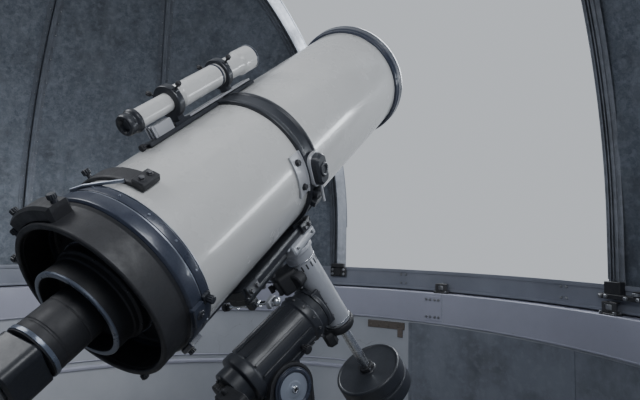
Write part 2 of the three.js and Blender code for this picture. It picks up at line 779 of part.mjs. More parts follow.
// The pin through both cheeks, with a large round cap on each end.
function altitudePivot() {
  const cap = CHEEK_OUTER + TOUCH;
  const capEnd = cap + PIVOT_CAP;
  const pin = join(
    solid(rod(PIVOT_PIN, -cap - 1, cap + 1, ROUND_SIDES)),
    solid(rod(PIVOT_DISC_RADIUS, cap, capEnd, ROUND_SIDES)),
    solid(rod(PIVOT_BOLT, capEnd - 2, capEnd + 6, SMALL_SIDES)),
    solid(rod(PIVOT_DISC_RADIUS, -capEnd, -cap, ROUND_SIDES)),
    solid(rod(PIVOT_BOLT, -capEnd - 6, -capEnd + 2, SMALL_SIDES)),
  )
    .rotate([0, 90, 0])
    .rotate([0, 0, POLAR_TURN / DEG])
    .translate(pivotPoint.toArray());
  return piece("altitude_pivot", pin, FINISHES.greyCasting);
}

// The polar housing: a barrel with an end cap below, a lug that the altitude pivot passes through, and
// a pocket on each side for the fork's cheeks.
function polarHousing() {
  const neck = -110;
  const barrel = join(
    solid(rod(POLAR_HOUSING_RADIUS, POLAR_BARREL_END, neck, ROUND_SIDES)),
    solid(rod(POLAR_HOUSING_RADIUS - 10, neck, POLAR_HOUSING_TOP, ROUND_SIDES)),
    solid(rod(POLAR_HOUSING_RADIUS - 20, POLAR_HOUSING_END, POLAR_BARREL_END, ROUND_SIDES)),
  );
  const { along: middle, below } = ALTITUDE_PIVOT;
  const across = (radius, half) =>
    solid(rod(radius, -half, half, ROUND_SIDES).rotateY(Math.PI / 2).translate(0, -below, middle));
  const lug = join(
    solid(
      block(
        [-LUG_HALF, -below, middle - LUG_RADIUS],
        [LUG_HALF, -POLAR_SHAFT_RADIUS, middle + LUG_RADIUS],
      ),
    ),
    across(LUG_RADIUS, LUG_HALF),
  );
  const bore = solid(rod(POLAR_SHAFT_RADIUS + 2, POLAR_BARREL_END - 30, 0, ROUND_SIDES));
  const pinHole = across(PIVOT_PIN + 1, 2 * CHEEK_OUTER);
  const clear = CHEEK_RADIUS + 4;
  const pocket = solid(
    block([LUG_HALF, -2 * below, middle - clear], [2 * CHEEK_OUTER, clear - below, middle + clear]),
  );
  const shape = cut(join(barrel, lug), pocket, pocket.mirror([1, 0, 0]), bore, pinHole);
  return piece("polar_housing", shape, FINISHES.castIron);
}

// The motor box on the low end of the polar housing.
function driveBox() {
  const far = POLAR_HOUSING_END - 55;
  const box = block([-150, -45, far], [-15, 45, POLAR_HOUSING_END - TOUCH]);
  const plug = rod(26, 0, 20, SMALL_SIDES)
    .rotateX(Math.PI / 2)
    .translate(-110, -43, (far + POLAR_HOUSING_END) / 2);
  return piece("drive_box", join(solid(box), solid(plug)), FINISHES.castIron);
}

// The rotating head: a drum that the declination housing lies in, and its shaft in the barrel.
function polarHead() {
  const housing = solid(
    rod(DEC_HOUSING_RADIUS + TOUCH, -AXIS_OFFSET, AXIS_OFFSET, ROUND_SIDES).rotateX(Math.PI / 2),
  );
  const drumTop = -38;
  const head = join(
    solid(rod(POLAR_HOUSING_RADIUS - 9, POLAR_HOUSING_TOP + RUNNING_GAP, drumTop, ROUND_SIDES)),
    solid(rod(POLAR_SHAFT_RADIUS, POLAR_BARREL_END, POLAR_HOUSING_TOP + 16, ROUND_SIDES)),
  );
  return piece("polar_head", cut(head, housing), FINISHES.castIron);
}

// The declination housing: a barrel along Y with a flange below the saddle and a collar at its end.
function decHousing() {
  const bore = DEC_SHAFT_RADIUS + RUNNING_GAP;
  const start = AXIS_OFFSET - DEC_FLANGE_END - RUNNING_GAP;
  const barrelStart = AXIS_OFFSET - DEC_HOUSING_START;
  const barrelEnd = AXIS_OFFSET - DEC_HOUSING_END;
  const collarEnd = AXIS_OFFSET - DEC_COLLAR_END;
  const outline = [
    [bore, start],
    [DEC_FLANGE_RADIUS, start],
    [DEC_FLANGE_RADIUS, barrelStart],
    [DEC_HOUSING_RADIUS, barrelStart],
    [DEC_HOUSING_RADIUS, barrelEnd],
    [DEC_COLLAR_RADIUS, barrelEnd],
    [DEC_HOUSING_RADIUS, collarEnd],
    [bore, collarEnd],
  ];
  const housing = turned(outline, ROUND_SIDES).rotateX(-Math.PI / 2);
  return piece("declination_housing", housing, FINISHES.greyCasting);
}

// Telescope. Its frame has Z along the tube, the origin on the declination axis, and -Y towards the
// mount.

function tubeFrame() {
  const frame = new THREE.Group();
  frame.position.set(0, AXIS_OFFSET, 0);
  frame.rotation.y = TUBE_TURN;
  return frame;
}

const along = (distance) => distance - TUBE_PIVOT;

// A geometry drawn on the -Y side is turned about the tube's axis to its own angle there.
const roundTube = (shape, angle) => shape.rotate([0, 0, angle / DEG]);

function tubeBody() {
  const inner = TUBE_RADIUS - TUBE_WALL;
  const wall = hoop(
    inner,
    TUBE_RADIUS,
    along(REAR_RING_FRONT) + TOUCH,
    along(FRONT_RING_START + 22) - TOUCH,
    LARGE_SIDES,
  );
  const frontRing = turned(
    [
      [TUBE_RADIUS + TOUCH, along(FRONT_RING_START)],
      [FRONT_RING_RADIUS, along(FRONT_RING_START)],
      [FRONT_RING_RADIUS, along(FRONT_RING_END)],
      [inner - 4, along(FRONT_RING_END)],
      [inner - 4, along(FRONT_RING_START + 22)],
      [TUBE_RADIUS + TOUCH, along(FRONT_RING_START + 22)],
    ],
    LARGE_SIDES,
  );
  return [
    ...halves("tube_wall", solid(wall), TUBE_SEAM, FINISHES.cream, TUBE_HALVES),
    piece("front_ring", frontRing, FINISHES.castIron),
  ];
}

// The rear cell: a ring with a seam, a thinner rim behind it, a clamp over the rim and small knobs
// round it.
function rearCell() {
  const ring = turned(
    [
      [REAR_BORE, along(REAR_RIM_BACK)],
      [REAR_RIM_RADIUS, along(REAR_RIM_BACK)],
      [REAR_RIM_RADIUS, along(0)],
      [REAR_RING_RADIUS, along(0)],
      [REAR_RING_RADIUS, along(REAR_SEAM)],
      [REAR_RING_RADIUS - 3, along(REAR_SEAM)],
      [REAR_RING_RADIUS - 3, along(REAR_SEAM + 4)],
      [REAR_RING_RADIUS - 1, along(REAR_SEAM + 4)],
      [REAR_RING_RADIUS - 1, along(REAR_RING_FRONT)],
      [REAR_BORE, along(REAR_RING_FRONT)],
    ],
    LARGE_SIDES,
  );
  const clampHalf = 22 * DEG;
  const clamp = swept(
    [
      [REAR_RIM_RADIUS - 4, along(-78)],
      [REAR_RIM_RADIUS + 34, along(-66)],
      [REAR_RIM_RADIUS + 38, along(-30)],
      [REAR_RIM_RADIUS - 4, along(-18)],
    ],
    -clampHalf,
    clampHalf,
    5 * DEG,
  );
  let cell = join(solid(ring), roundTube(solid(clamp), REAR_CLAMP_ANGLE));
  for (const { angle, place, from, to } of REAR_KNOBS) {
    const knob = rod(REAR_KNOB_RADIUS, from, to, SMALL_SIDES).rotateX(Math.PI / 2);
    cell = cell.add(roundTube(solid(knob.translate(0, 0, along(place))), angle));
  }
  return piece("rear_cell", cell, FINISHES.castIron);
}

function backPlate() {
  const plate = turned(
    [
      [BACK_PLATE_BORE, along(BACK_PLATE_START)],
      [REAR_BORE - TOUCH, along(BACK_PLATE_START)],
      [REAR_BORE - TOUCH, along(BACK_PLATE_START + BACK_PLATE)],
      [BACK_PLATE_BORE, along(BACK_PLATE_START + BACK_PLATE)],
    ],
    LARGE_SIDES,
  );
  const mirror = hoop(
    MIRROR_BORE,
    MIRROR_RADIUS,
    along(BACK_PLATE_START + BACK_PLATE) + TOUCH,
    along(BACK_PLATE_START + BACK_PLATE + MIRROR_THICK),
    LARGE_SIDES,
  );
  return [
    piece("back_plate", plate, FINISHES.castIron),
    piece("primary_mirror", mirror, FINISHES.mirror),
  ];
}

function focuser() {
  const bore = DRAW_TUBE_RADIUS + 1;
  const recess = -70;
  const shoulder = -66;
  const body = turned(
    [
      [bore, along(recess)],
      [FOCUSER_RADIUS - 18, along(recess)],
      [FOCUSER_RADIUS - 14, along(FOCUSER_RIM)],
      [FOCUSER_RADIUS, along(FOCUSER_RIM)],
      [FOCUSER_RADIUS, along(shoulder - 6)],
      [FOCUSER_RADIUS + 16, along(shoulder)],
      [FOCUSER_RADIUS + 16, along(BACK_PLATE_START) - TOUCH],
      [bore, along(BACK_PLATE_START) - TOUCH],
    ],
    LARGE_SIDES,
  );
  return piece("focuser_body", body, FINISHES.castIron);
}

// The sliding part: the draw tube, the mirror diagonal behind it and the eyepiece in its side.
function drawTube() {
  const tube = hoop(52, DRAW_TUBE_RADIUS, along(DIAGONAL_END), along(4), ROUND_SIDES);
  const middle = along(DIAGONAL_MIDDLE);
  const sideways = (radius, from, to, sides) =>
    solid(rod(radius, from, to, sides).rotateY(Math.PI / 2).translate(0, 0, middle));
  const box = solid(
    block(
      [-DIAGONAL_HALF, -DIAGONAL_HALF, 2 * middle - along(DIAGONAL_END)],
      [DIAGONAL_HALF, DIAGONAL_HALF, along(DIAGONAL_END) - TOUCH],
    ),
  );
  const holder = sideways(38, DIAGONAL_HALF - 8, HOLDER_END, ROUND_SIDES);
  const eyepiece = sideways(31, HOLDER_END + TOUCH, EYEPIECE_END, ROUND_SIDES);
  const lockBar = solid(
    rod(9, DIAGONAL_HALF - 8, DIAGONAL_HALF + 44, SMALL_SIDES)
      .rotateX(Math.PI / 2)
      .translate(20, 0, middle - 26),
  );
  return [
    piece("draw_tube", tube, FINISHES.castIron),
    piece("mirror_diagonal", roundTube(join(box, holder, lockBar), DIAGONAL_TURN), FINISHES.castIron),
    piece("eyepiece", roundTube(eyepiece, DIAGONAL_TURN), FINISHES.castIron),
  ];
}

// The cradle ring round the tube, with an ear on the side where it closes.
function cradle() {
  const ring = solid(
    hoop(TUBE_RADIUS + TOUCH, CRADLE_RADIUS, along(CRADLE_START), along(CRADLE_END), LARGE_SIDES),
  );
  const ear = solid(
    block(
      [-EAR_HALF, -CRADLE_RADIUS - 34, along(CRADLE_START + 3)],
      [EAR_HALF, -CRADLE_RADIUS + 6, along(CRADLE_END - 3)],
    ),
  );
  const latch = swept(
    [
      [TUBE_RADIUS + TOUCH, along(LATCH_START)],
      [TUBE_RADIUS + LATCH_THICK, along(LATCH_START)],
      [TUBE_RADIUS + LATCH_THICK, along(CRADLE_START) - TOUCH],
      [TUBE_RADIUS + TOUCH, along(CRADLE_START) - TOUCH],
    ],
    -LATCH_HALF,
    LATCH_HALF,
    LATCH_HALF / 3,
  );
  return [
    piece("cradle_ring", ring.add(roundTube(ear, EAR_ANGLE)), FINISHES.castIron),
    piece("ring_latch", roundTube(solid(latch), LATCH_ANGLE), FINISHES.brightSteel),
  ];
}

// The saddle: a deep bar from the rear cell to the cradle ring, with the axis flange under it.
function saddle() {
  const railStart = 30;
  const railHalf = 24;
  const railTop = REAR_RING_RADIUS + 2;
  const beamStart = 268;
  const beamEnd = CRADLE_END + 14;
  const bellyHalf = 44;
  const bellyDepth = 34;
  const padStart = TUBE_PIVOT - 80;
  const padEnd = TUBE_PIVOT + 74;
  const footDepth = 232;
  const slab = (half, bottom, top, from, to) =>
    solid(block([-half, -bottom, along(from)], [half, -top, along(to)]));
  const foot = (half, from, to) => slab(half, SADDLE_TOP + 4, footDepth, from, to);
  const rail = slab(railHalf, SADDLE_TOP + 4, railTop, railStart, beamStart + 60);
  const beam = slab(SADDLE_HALF, SADDLE_BOTTOM, SADDLE_TOP, beamStart, beamEnd);
  const bellyBottom = SADDLE_BOTTOM + bellyDepth;
  const belly = slab(bellyHalf, bellyBottom, SADDLE_BOTTOM - 2, beamStart + 14, padStart - 8);
  const pad = slab(SADDLE_HALF, DEC_FLANGE_END, SADDLE_BOTTOM - 2, padStart, padEnd);
  const lugHalf = 16;
  const lug = solid(
    block(
      [-lugHalf, -TANGENT_OFFSET - 15, along(TANGENT_PLACE - lugHalf)],
      [lugHalf, -SADDLE_BOTTOM + 2, along(TANGENT_PLACE + lugHalf)],
    ),
  );
  const screwHole = solid(tangentBar(TANGENT_ROD + RUNNING_GAP, -2 * lugHalf, 2 * lugHalf));
  const midway = (REAR_RING_FRONT + CRADLE_START) / 2;
  const seat = (radius, from, to) => solid(rod(radius + ROUND_SEAT, along(from), along(to), RING_SIDES));
  const shape = cut(
    join(
      beam,
      rail,
      belly,
      pad,
      lug,
      foot(railHalf, railStart + 4, REAR_RING_FRONT - 12),
      foot(SADDLE_HALF - 12, CRADLE_START, CRADLE_END),
    ),
    seat(REAR_RING_RADIUS, railStart - 20, midway),
    seat(CRADLE_RADIUS, midway, beamEnd + 40),
    screwHole,
  );
  return piece("saddle", shape, FINISHES.castIron);
}

// A bar across the tube's axis, under the saddle, between two places to the sides.
const tangentBar = (radius, from, to) =>
  rod(radius, from, to, SMALL_SIDES)
    .rotateY(Math.PI / 2)
    .translate(0, -TANGENT_OFFSET, along(TANGENT_PLACE));

// The tangent screw of the declination slow motion: a bright rod across the saddle's lug, with a
// ball knob at the near end.
function tangentScrew() {
  const knob = new THREE.SphereGeometry(TANGENT_BALL, SMALL_SIDES, SMALL_SIDES / 2).translate(
    TANGENT_NEAR,
    -TANGENT_OFFSET,
    along(TANGENT_PLACE),
  );
  const bar = tangentBar(TANGENT_ROD, TANGENT_NEAR, TANGENT_FAR);
  return piece("tangent_screw", join(solid(bar), solid(knob)), FINISHES.brightSteel);
}

// The shaft that carries the counterweight, and the counterweight on it.
function counterweight() {
  const shaft = rod(DEC_SHAFT_RADIUS, DEC_FLANGE_END + TOUCH, WEIGHT_END + 20, ROUND_SIDES)
    .rotateX(Math.PI / 2);
  const weight = turned(
    [
      [DEC_SHAFT_RADIUS + TOUCH, WEIGHT_START],
      [WEIGHT_RADIUS - WEIGHT_EDGE, WEIGHT_START],
      [WEIGHT_RADIUS, WEIGHT_START + WEIGHT_EDGE],
      [WEIGHT_RADIUS, WEIGHT_END - WEIGHT_EDGE],
      [WEIGHT_RADIUS - WEIGHT_EDGE, WEIGHT_END],
      [DEC_SHAFT_RADIUS + TOUCH, WEIGHT_END],
    ],
    ROUND_SIDES,
  ).rotateX(Math.PI / 2);
  return [
    piece("counterweight_shaft", shaft, FINISHES.brightSteel),
    piece("counterweight", weight, FINISHES.castIron),
  ];
}

// The strap over the rear of the tube, an arc with a bolt at each end.
function rearStrap() {
  const outline = [
    [TUBE_RADIUS + TOUCH, along(STRAP_START)],
    [TUBE_RADIUS + STRAP_THICK, along(STRAP_START)],
    [TUBE_RADIUS + STRAP_THICK, along(STRAP_END)],
    [TUBE_RADIUS + TOUCH, along(STRAP_END)],
  ];
  const strap = solid(swept(outline, Math.PI - STRAP_HALF, Math.PI + STRAP_HALF, 5 * DEG));
  return piece("rear_strap", strap, FINISHES.castIron);
}

// The finder telescope: its tube with the eyepiece, and the bar and two rings that hold it.
function finder() {
  const { eyeStart, tubeStart, stepPlace, hoodStart, end, rings, barStart, barEnd } = FINDER_PLACES;
  const hoodRadius = FINDER_RADIUS + 6;
  const tube = turned(
    [
      [0, along(eyeStart)],
      [FINDER_EYE_RADIUS - 5, along(eyeStart)],
      [FINDER_EYE_RADIUS, along(eyeStart + 6)],
      [FINDER_EYE_RADIUS, along(tubeStart)],
      [FINDER_REAR_RADIUS, along(tubeStart)],
      [FINDER_REAR_RADIUS, along(stepPlace)],
      [FINDER_RADIUS, along(stepPlace + 10)],
      [FINDER_RADIUS, along(hoodStart)],
      [hoodRadius, along(hoodStart + 8)],
      [hoodRadius, along(end)],
      [0, along(end)],
    ],
    ROUND_SIDES,
  );
  const bandHalf = 13;
  const ring = ([distance, held]) => {
    const outer = FINDER_RADIUS + 14;
    const [back, front] = [along(distance - bandHalf), along(distance + bandHalf)];
    const band = solid(hoop(held + 0.8, outer, back, front, ROUND_SIDES));
    const post = solid(
      block(
        [-18, FINDER_RADIUS + 6, back],
        [18, FINDER_OFFSET - FINDER_BAR_TOP + 4, front],
      ),
    );
    const screws = [60, -60].map((angle) =>
      solid(rod(6, outer - 4, outer + 34, SMALL_SIDES).rotateX(Math.PI / 2))
        .translate([0, 0, along(distance)])
        .rotate([0, 0, angle]),
    );
    return join(band, post, ...screws).translate([0, -FINDER_OFFSET, 0]);
  };
  const barHalf = 24;
  const bar = block(
    [-barHalf, -FINDER_BAR_TOP, along(barStart)],
    [barHalf, -TUBE_RADIUS - 1.5, along(barEnd)],
  );
  const ringGap = rod(
    CRADLE_RADIUS + ROUND_SEAT,
    along(CRADLE_START - 1),
    along(CRADLE_END + 1),
    RING_SIDES,
  );
  const beside = (shape) => roundTube(solid(shape).translate([0, -FINDER_OFFSET, 0]), FINDER_ANGLE);
  const mount = join(cut(solid(bar), solid(ringGap)), ...rings.map(ring));
  return [
    piece("finder_tube", beside(tube), FINISHES.cream),
    piece("finder_mount", roundTube(mount, FINDER_ANGLE), FINISHES.castIron),
  ];
}

// The secondary mirror's hub on four vanes across the front of the tube.
function spider() {
  const reach = TUBE_RADIUS - TUBE_WALL - 2 * TOUCH;
  const { back, vaneBack, vaneFront, front } = HUB_PLACES;
  const vane = solid(block([-3, -reach, along(vaneBack)], [3, reach, along(vaneFront)]));
  const hub = solid(rod(HUB_RADIUS, along(back), along(front), ROUND_SIDES));
  return piece("secondary_spider", join(vane, vane.rotate([0, 0, 90]), hub), FINISHES.castIron);
}

const dome = new THREE.Group();
dome.add(...domeBase(), ...shellPanels(), ...seamRibs(), ...slitFrame(), ...shutterRails(), ...shutters());

const mount = mountFrame();
mount.add(polarHousing(), driveBox(), polarHead(), decHousing());
const telescope = tubeFrame();
telescope.add(
  ...tubeBody(),
  rearCell(),
  ...backPlate(),
  focuser(),
  ...drawTube(),
  ...cradle(),
  saddle(),
  tangentScrew(),
  ...counterweight(),
  rearStrap(),
  ...finder(),
  spider(),
);
mount.add(telescope);

const observatory = new THREE.Group();
observatory.add(...drumWall(), floor(), ...door(), ...trackRing(), dome);
observatory.add(pier(), pierHead(), altitudePivot(), mount);

export default observatory;
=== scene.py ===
"""The looks of a small observatory: every CAD node is replaced by a finer piece with its own finish.

Lengths inside the classes are millimetres in the building's frame (+Z up, the slit towards -Y), and
each mesh is turned into metres when it is made. Azimuths are counted from -Y towards +X.
"""

import logging
import math
from collections.abc import Sequence
from dataclasses import dataclass, field
from enum import Enum

import bpy
import numpy as np
from mathutils import Matrix, Vector

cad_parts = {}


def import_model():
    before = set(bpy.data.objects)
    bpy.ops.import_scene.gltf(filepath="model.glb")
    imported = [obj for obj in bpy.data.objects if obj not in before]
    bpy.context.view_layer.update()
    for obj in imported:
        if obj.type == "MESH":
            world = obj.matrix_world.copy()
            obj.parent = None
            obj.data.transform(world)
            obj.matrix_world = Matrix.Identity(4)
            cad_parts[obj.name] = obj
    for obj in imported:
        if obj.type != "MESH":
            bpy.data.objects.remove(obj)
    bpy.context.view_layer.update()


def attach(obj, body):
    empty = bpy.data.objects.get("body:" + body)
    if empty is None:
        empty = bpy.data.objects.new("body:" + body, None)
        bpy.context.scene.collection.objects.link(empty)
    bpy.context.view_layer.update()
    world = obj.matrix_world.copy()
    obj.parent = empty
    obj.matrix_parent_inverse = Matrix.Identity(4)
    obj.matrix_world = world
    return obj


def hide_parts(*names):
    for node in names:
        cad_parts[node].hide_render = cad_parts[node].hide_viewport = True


Triple = tuple[float, float, float]
Socket = bpy.types.NodeSocket

log = logging.getLogger("observatory")

MM = 0.001
CREASE = math.radians(34)
CORNER_SHARE = 0.48
RIDGE_FLATNESS = 1.6
HEX_CHAMFER = 0.12
POLE_LATITUDE = 84.0


class Body(Enum):
    """The CAD bodies that pieces ride on."""

    BUILDING = "building"
    DOME = "dome"
    MOUNT_HEAD = "mount_head"
    TELESCOPE = "telescope"
    FOCUSER = "focuser_slide"


class Hand(Enum):
    """The two sides of the dome's slit, as signs of X."""

    LEFT = -1
    RIGHT = 1


class Along(Enum):
    """The axis that a flat outline is drawn out along, as the order of its (u, v, depth)."""

    X = (2, 0, 1)
    Y = (0, 2, 1)
    Z = (0, 1, 2)


# Frames


@dataclass(frozen=True)
class Axes:
    """A frame to build in: its origin in millimetres, and its X, Y and Z directions as rows."""

    origin: np.ndarray
    rows: np.ndarray

    def place(self, points: np.ndarray) -> np.ndarray:
        """Points of this frame in the building's frame."""
        return points @ self.rows + self.origin

    def moved(self, x: float = 0.0, y: float = 0.0, z: float = 0.0) -> "Axes":
        """The frame shifted along its own directions."""
        return Axes(self.place(np.array([x, y, z], float)), self.rows)

    def turned(self, degrees: float) -> "Axes":
        """The frame turned about its own Z."""
        c, s = math.cos(math.radians(degrees)), math.sin(math.radians(degrees))
        return Axes(self.origin, np.array([[c, s, 0], [-s, c, 0], [0, 0, 1]]) @ self.rows)

    def tipped(self, degrees: float) -> "Axes":
        """The frame turned about its own X."""
        c, s = math.cos(math.radians(degrees)), math.sin(math.radians(degrees))
        return Axes(self.origin, np.array([[1, 0, 0], [0, c, s], [0, -s, c]]) @ self.rows)

    def swung(self, degrees: float) -> "Axes":
        """The frame turned about its own Y."""
        c, s = math.cos(math.radians(degrees)), math.sin(math.radians(degrees))
        return Axes(self.origin, np.array([[c, 0, -s], [0, 1, 0], [s, 0, c]]) @ self.rows)

    def flipped(self) -> "Axes":
        """The frame turned half round about its own Y."""
        return self.swung(180)

    def sideways(self, hand: "Hand") -> "Axes":
        """A frame whose Z points along this frame's +X or -X and whose Y is this frame's Z."""
        sign = hand.value
        return Axes(self.origin, np.array([[0, sign, 0], [0, 0, 1], [sign, 0, 0]]) @ self.rows)

    def outward(self, angle: float, radius: float, z: float = 0.0) -> "Axes":
        """A frame on a round body, whose Z points away from the body's axis.

        Args:
            angle: Degrees from this frame's -Y towards its +X.
            radius: Distance of the new origin from this frame's Z axis.
            z: Place along this frame's Z axis.

        Returns:
            The frame: X runs round the body, Y along it and Z outwards.
        """
        there = self.turned(angle).moved(y=-radius, z=z)
        return Axes(there.origin, np.array([[1, 0, 0], [0, 0, 1], [0, -1, 0]]) @ there.rows)


WORLD = Axes(np.zeros(3), np.eye(3))


# Closed meshes


@dataclass(frozen=True)
class Solid:
    """A closed mesh: points (n, 3), four-sided faces as index rows, and its larger end faces."""

    points: np.ndarray
    quads: np.ndarray
    caps: tuple[np.ndarray, ...] = ()

    def outward(self) -> "Solid":
        """The same mesh with its faces turned outwards, judged by the sign of its volume."""
        p = self.points - self.points.mean(0)
        fans = [np.column_stack([np.full(len(c) - 2, c[0]), c[1:-1], c[2:]]) for c in self.caps]
        tris = np.concatenate([self.quads[:, [0, 1, 2]], self.quads[:, [0, 2, 3]], *fans])
        volume = np.einsum("ij,ij->", p[tris[:, 0]], np.cross(p[tris[:, 1]], p[tris[:, 2]]))
        if volume >= 0:
            return self
        return Solid(self.points, self.quads[:, ::-1], tuple(c[::-1] for c in self.caps))

    def placed(self, axes: Axes) -> "Solid":
        """The mesh moved from a frame into the building's frame."""
        return Solid(axes.place(self.points), self.quads, self.caps)

    def mirrored(self) -> "Solid":
        """The mesh mirrored across X."""
        return Solid(self.points * [-1, 1, 1], self.quads[:, ::-1], tuple(c[::-1] for c in self.caps))

    def on(self, hand: Hand) -> "Solid":
        """A mesh drawn on the +X side, on the given side."""
        return self if hand is Hand.RIGHT else self.mirrored()

    def copies(self, frames: Sequence[Axes]) -> "Solid":
        """One mesh that holds a copy of this one in each frame."""
        rows = np.stack([frame.rows for frame in frames])
        origins = np.stack([frame.origin for frame in frames])
        points = np.einsum("nj,kjl->knl", self.points, rows) + origins[:, None]
        shift = np.arange(len(frames)) * len(self.points)
        quads = self.quads[None] + shift[:, None, None]
        caps = tuple(cap + step for step in shift for cap in self.caps)
        return Solid(points.reshape(-1, 3), quads.reshape(-1, 4), caps)


def merged(*solids: Solid) -> Solid:
    """Several closed meshes as one."""
    shift = np.cumsum([0, *(len(s.points) for s in solids)])
    return Solid(
        np.concatenate([s.points for s in solids]),
        np.concatenate([s.quads + step for s, step in zip(solids, shift)]),
        tuple(cap + step for s, step in zip(solids, shift) for cap in s.caps),
    )


def loft(rings: np.ndarray, around: bool = False) -> Solid:
    """A closed skin through rings of points.

    Args:
        rings: Points (count, sides, 3), where each ring closes on itself.
        around: True joins the last ring to the first, False closes both ends with a face.

    Returns:
        The closed mesh, facing outwards.
    """
    count, sides = rings.shape[:2]
    row = np.arange(count if around else count - 1)[:, None]
    col = np.arange(sides)[None, :]
    below, beside = (row + 1) % count, (col + 1) % sides
    corners = [row * sides + col, below * sides + col, below * sides + beside, row * sides + beside]
    quads = np.stack(np.broadcast_arrays(*corners), -1).reshape(-1, 4)
    ends = () if around else (np.arange(sides), (count - 1) * sides + np.arange(sides)[::-1])
    return Solid(rings.reshape(-1, 3), quads, ends).outward()


def rounded(outline: Sequence, radius: float | Sequence, steps: int = 3, closed: bool = True) -> np.ndarray:
    """A flat outline whose corners are rounded, each by a parabola between two points beside it.

    Args:
        outline: Corner points (n, 2).
        radius: How far from the corner the rounding starts, one for all or one for each corner.
        steps: Number of straight pieces in each rounding.
        closed: False leaves the first and last point as they are.

    Returns:
        The points of the rounded outline.
    """
    p = np.asarray(outline, float)
    back, ahead = np.roll(p, 1, 0) - p, np.roll(p, -1, 0) - p
    size_back = np.linalg.norm(back, axis=1, keepdims=True)
    size_ahead = np.linalg.norm(ahead, axis=1, keepdims=True)
    wanted = np.broadcast_to(np.asarray(radius, float), (len(p),))[:, None]
    reach = np.minimum(wanted, CORNER_SHARE * np.minimum(size_back, size_ahead))
    start, end = p + back / size_back * reach, p + ahead / size_ahead * reach
    t = np.linspace(0, 1, steps + 1)[None, :, None]
    curve = (1 - t) ** 2 * start[:, None] + 2 * t * (1 - t) * p[:, None] + t**2 * end[:, None]
    if closed:
        return curve.reshape(-1, 2)
    return np.concatenate([p[:1], curve[1:-1].reshape(-1, 2), p[-1:]])


def inset(outline: np.ndarray, distance: float) -> np.ndarray:
    """A closed flat outline moved inwards, with mitred corners."""
    step = np.roll(outline, -1, 0) - outline
    step = step / np.linalg.norm(step, axis=1, keepdims=True)
    ahead = np.stack([-step[:, 1], step[:, 0]], 1)
    back = np.roll(ahead, 1, 0)
    u, v = outline.T
    area = np.sum(u * np.roll(v, -1) - v * np.roll(u, -1))
    shift = (ahead + back) / (1 + np.sum(ahead * back, 1, keepdims=True))
    return outline + math.copysign(distance, area) * shift


def circle(radius: float, sides: int = 32, centre: Sequence = (0.0, 0.0), start: float = 0.0) -> np.ndarray:
    """Points of a flat circle."""
    angle = np.radians(start) + np.arange(sides) * 2 * np.pi / sides
    return np.stack([centre[0] + radius * np.cos(angle), centre[1] + radius * np.sin(angle)], 1)


def rectangle(low: Sequence, high: Sequence, radius: float = 0.0, steps: int = 3) -> np.ndarray:
    """A flat rectangle between two corners, with rounded corners where a radius is given."""
    points = [[low[0], low[1]], [high[0], low[1]], [high[0], high[1]], [low[0], high[1]]]
    return rounded(points, radius, steps) if radius else np.array(points, float)


def prism(outline: np.ndarray, low: float, high: float, edge: float = 0.0, along: Along = Along.Z) -> Solid:
    """A flat outline drawn out between two depths.

    Args:
        outline: Points (n, 2).
        low: Depth of the first end.
        high: Depth of the other end.
        edge: Width of the chamfer round both ends, or 0 for none.
        along: The axis of the depth.

    Returns:
        The closed mesh.
    """
    levels = [(outline, low), (outline, high)]
    if edge:
        inner = inset(outline, edge)
        levels = [(inner, low), (outline, low + edge), (outline, high - edge), (inner, high)]
    rings = np.stack([np.column_stack([shape, np.full(len(shape), depth)]) for shape, depth in levels])
    return loft(rings[..., list(along.value)])


def block(
    low: Sequence, high: Sequence, radius: float = 3.0, edge: float = 1.5, along: Along = Along.Z
) -> Solid:
    """A block between two corners with four rounded edges along one axis and chamfered ends."""
    u, v, depth = along.value.index(0), along.value.index(1), along.value.index(2)
    outline = rectangle((low[u], low[v]), (high[u], high[v]), radius)
    return prism(outline, low[depth], high[depth], edge, along)


def about_z(azimuth: np.ndarray, radius: object, height: object) -> np.ndarray:
    """Points (..., 3) at azimuths in radians, radii and heights whose shapes fit each other."""
    return np.stack(np.broadcast_arrays(np.sin(azimuth) * radius, -np.cos(azimuth) * radius, height), -1)


def ring(outline: Sequence, sides: int = 128, start: float = 0.0, end: float = 360.0) -> Solid:
    """A closed outline of (radius, height) points turned about Z between two azimuths."""
    full = end - start >= 360
    azimuth = np.radians(np.linspace(start, end, sides + (not full), endpoint=not full))[:, None]
    return loft(about_z(azimuth, *np.asarray(outline, float).T), around=full)


def hoop(
    outline: Sequence, radius: float | Sequence, sides: int, start: float = 0.0, end: float = 360.0
) -> Solid:
    """A ring whose outline has rounded corners."""
    return ring(rounded(outline, radius), sides, start, end)


def spindle(profile: Sequence, sides: int = 64) -> Solid:
    """A round body about Z from its open profile of (radius, height) points, closed with flat ends."""
    azimuth = np.arange(sides) * 2 * np.pi / sides
    return loft(about_z(azimuth, *np.asarray(profile, float).T[:, :, None]))


def turning(profile: Sequence, radius: float, sides: int) -> Solid:
    """A round body about Z whose open profile has rounded corners."""
    return spindle(rounded(profile, radius, closed=False), sides)


def rod(radius: float, low: float, high: float, edge: float = 1.0, sides: int = 32) -> Solid:
    """A round bar about Z with chamfered ends."""
    profile = [(radius - edge, low), (radius, low + edge), (radius, high - edge), (radius - edge, high)]
    return spindle(profile, sides)


def ball(radius: float, sides: int = 32) -> Solid:
    """A ball from rings of latitude, with small flats at its poles."""
    angle = np.radians(np.linspace(-POLE_LATITUDE, POLE_LATITUDE, sides // 2 + 1))
    return spindle(np.stack([radius * np.cos(angle), radius * np.sin(angle)], 1), sides)


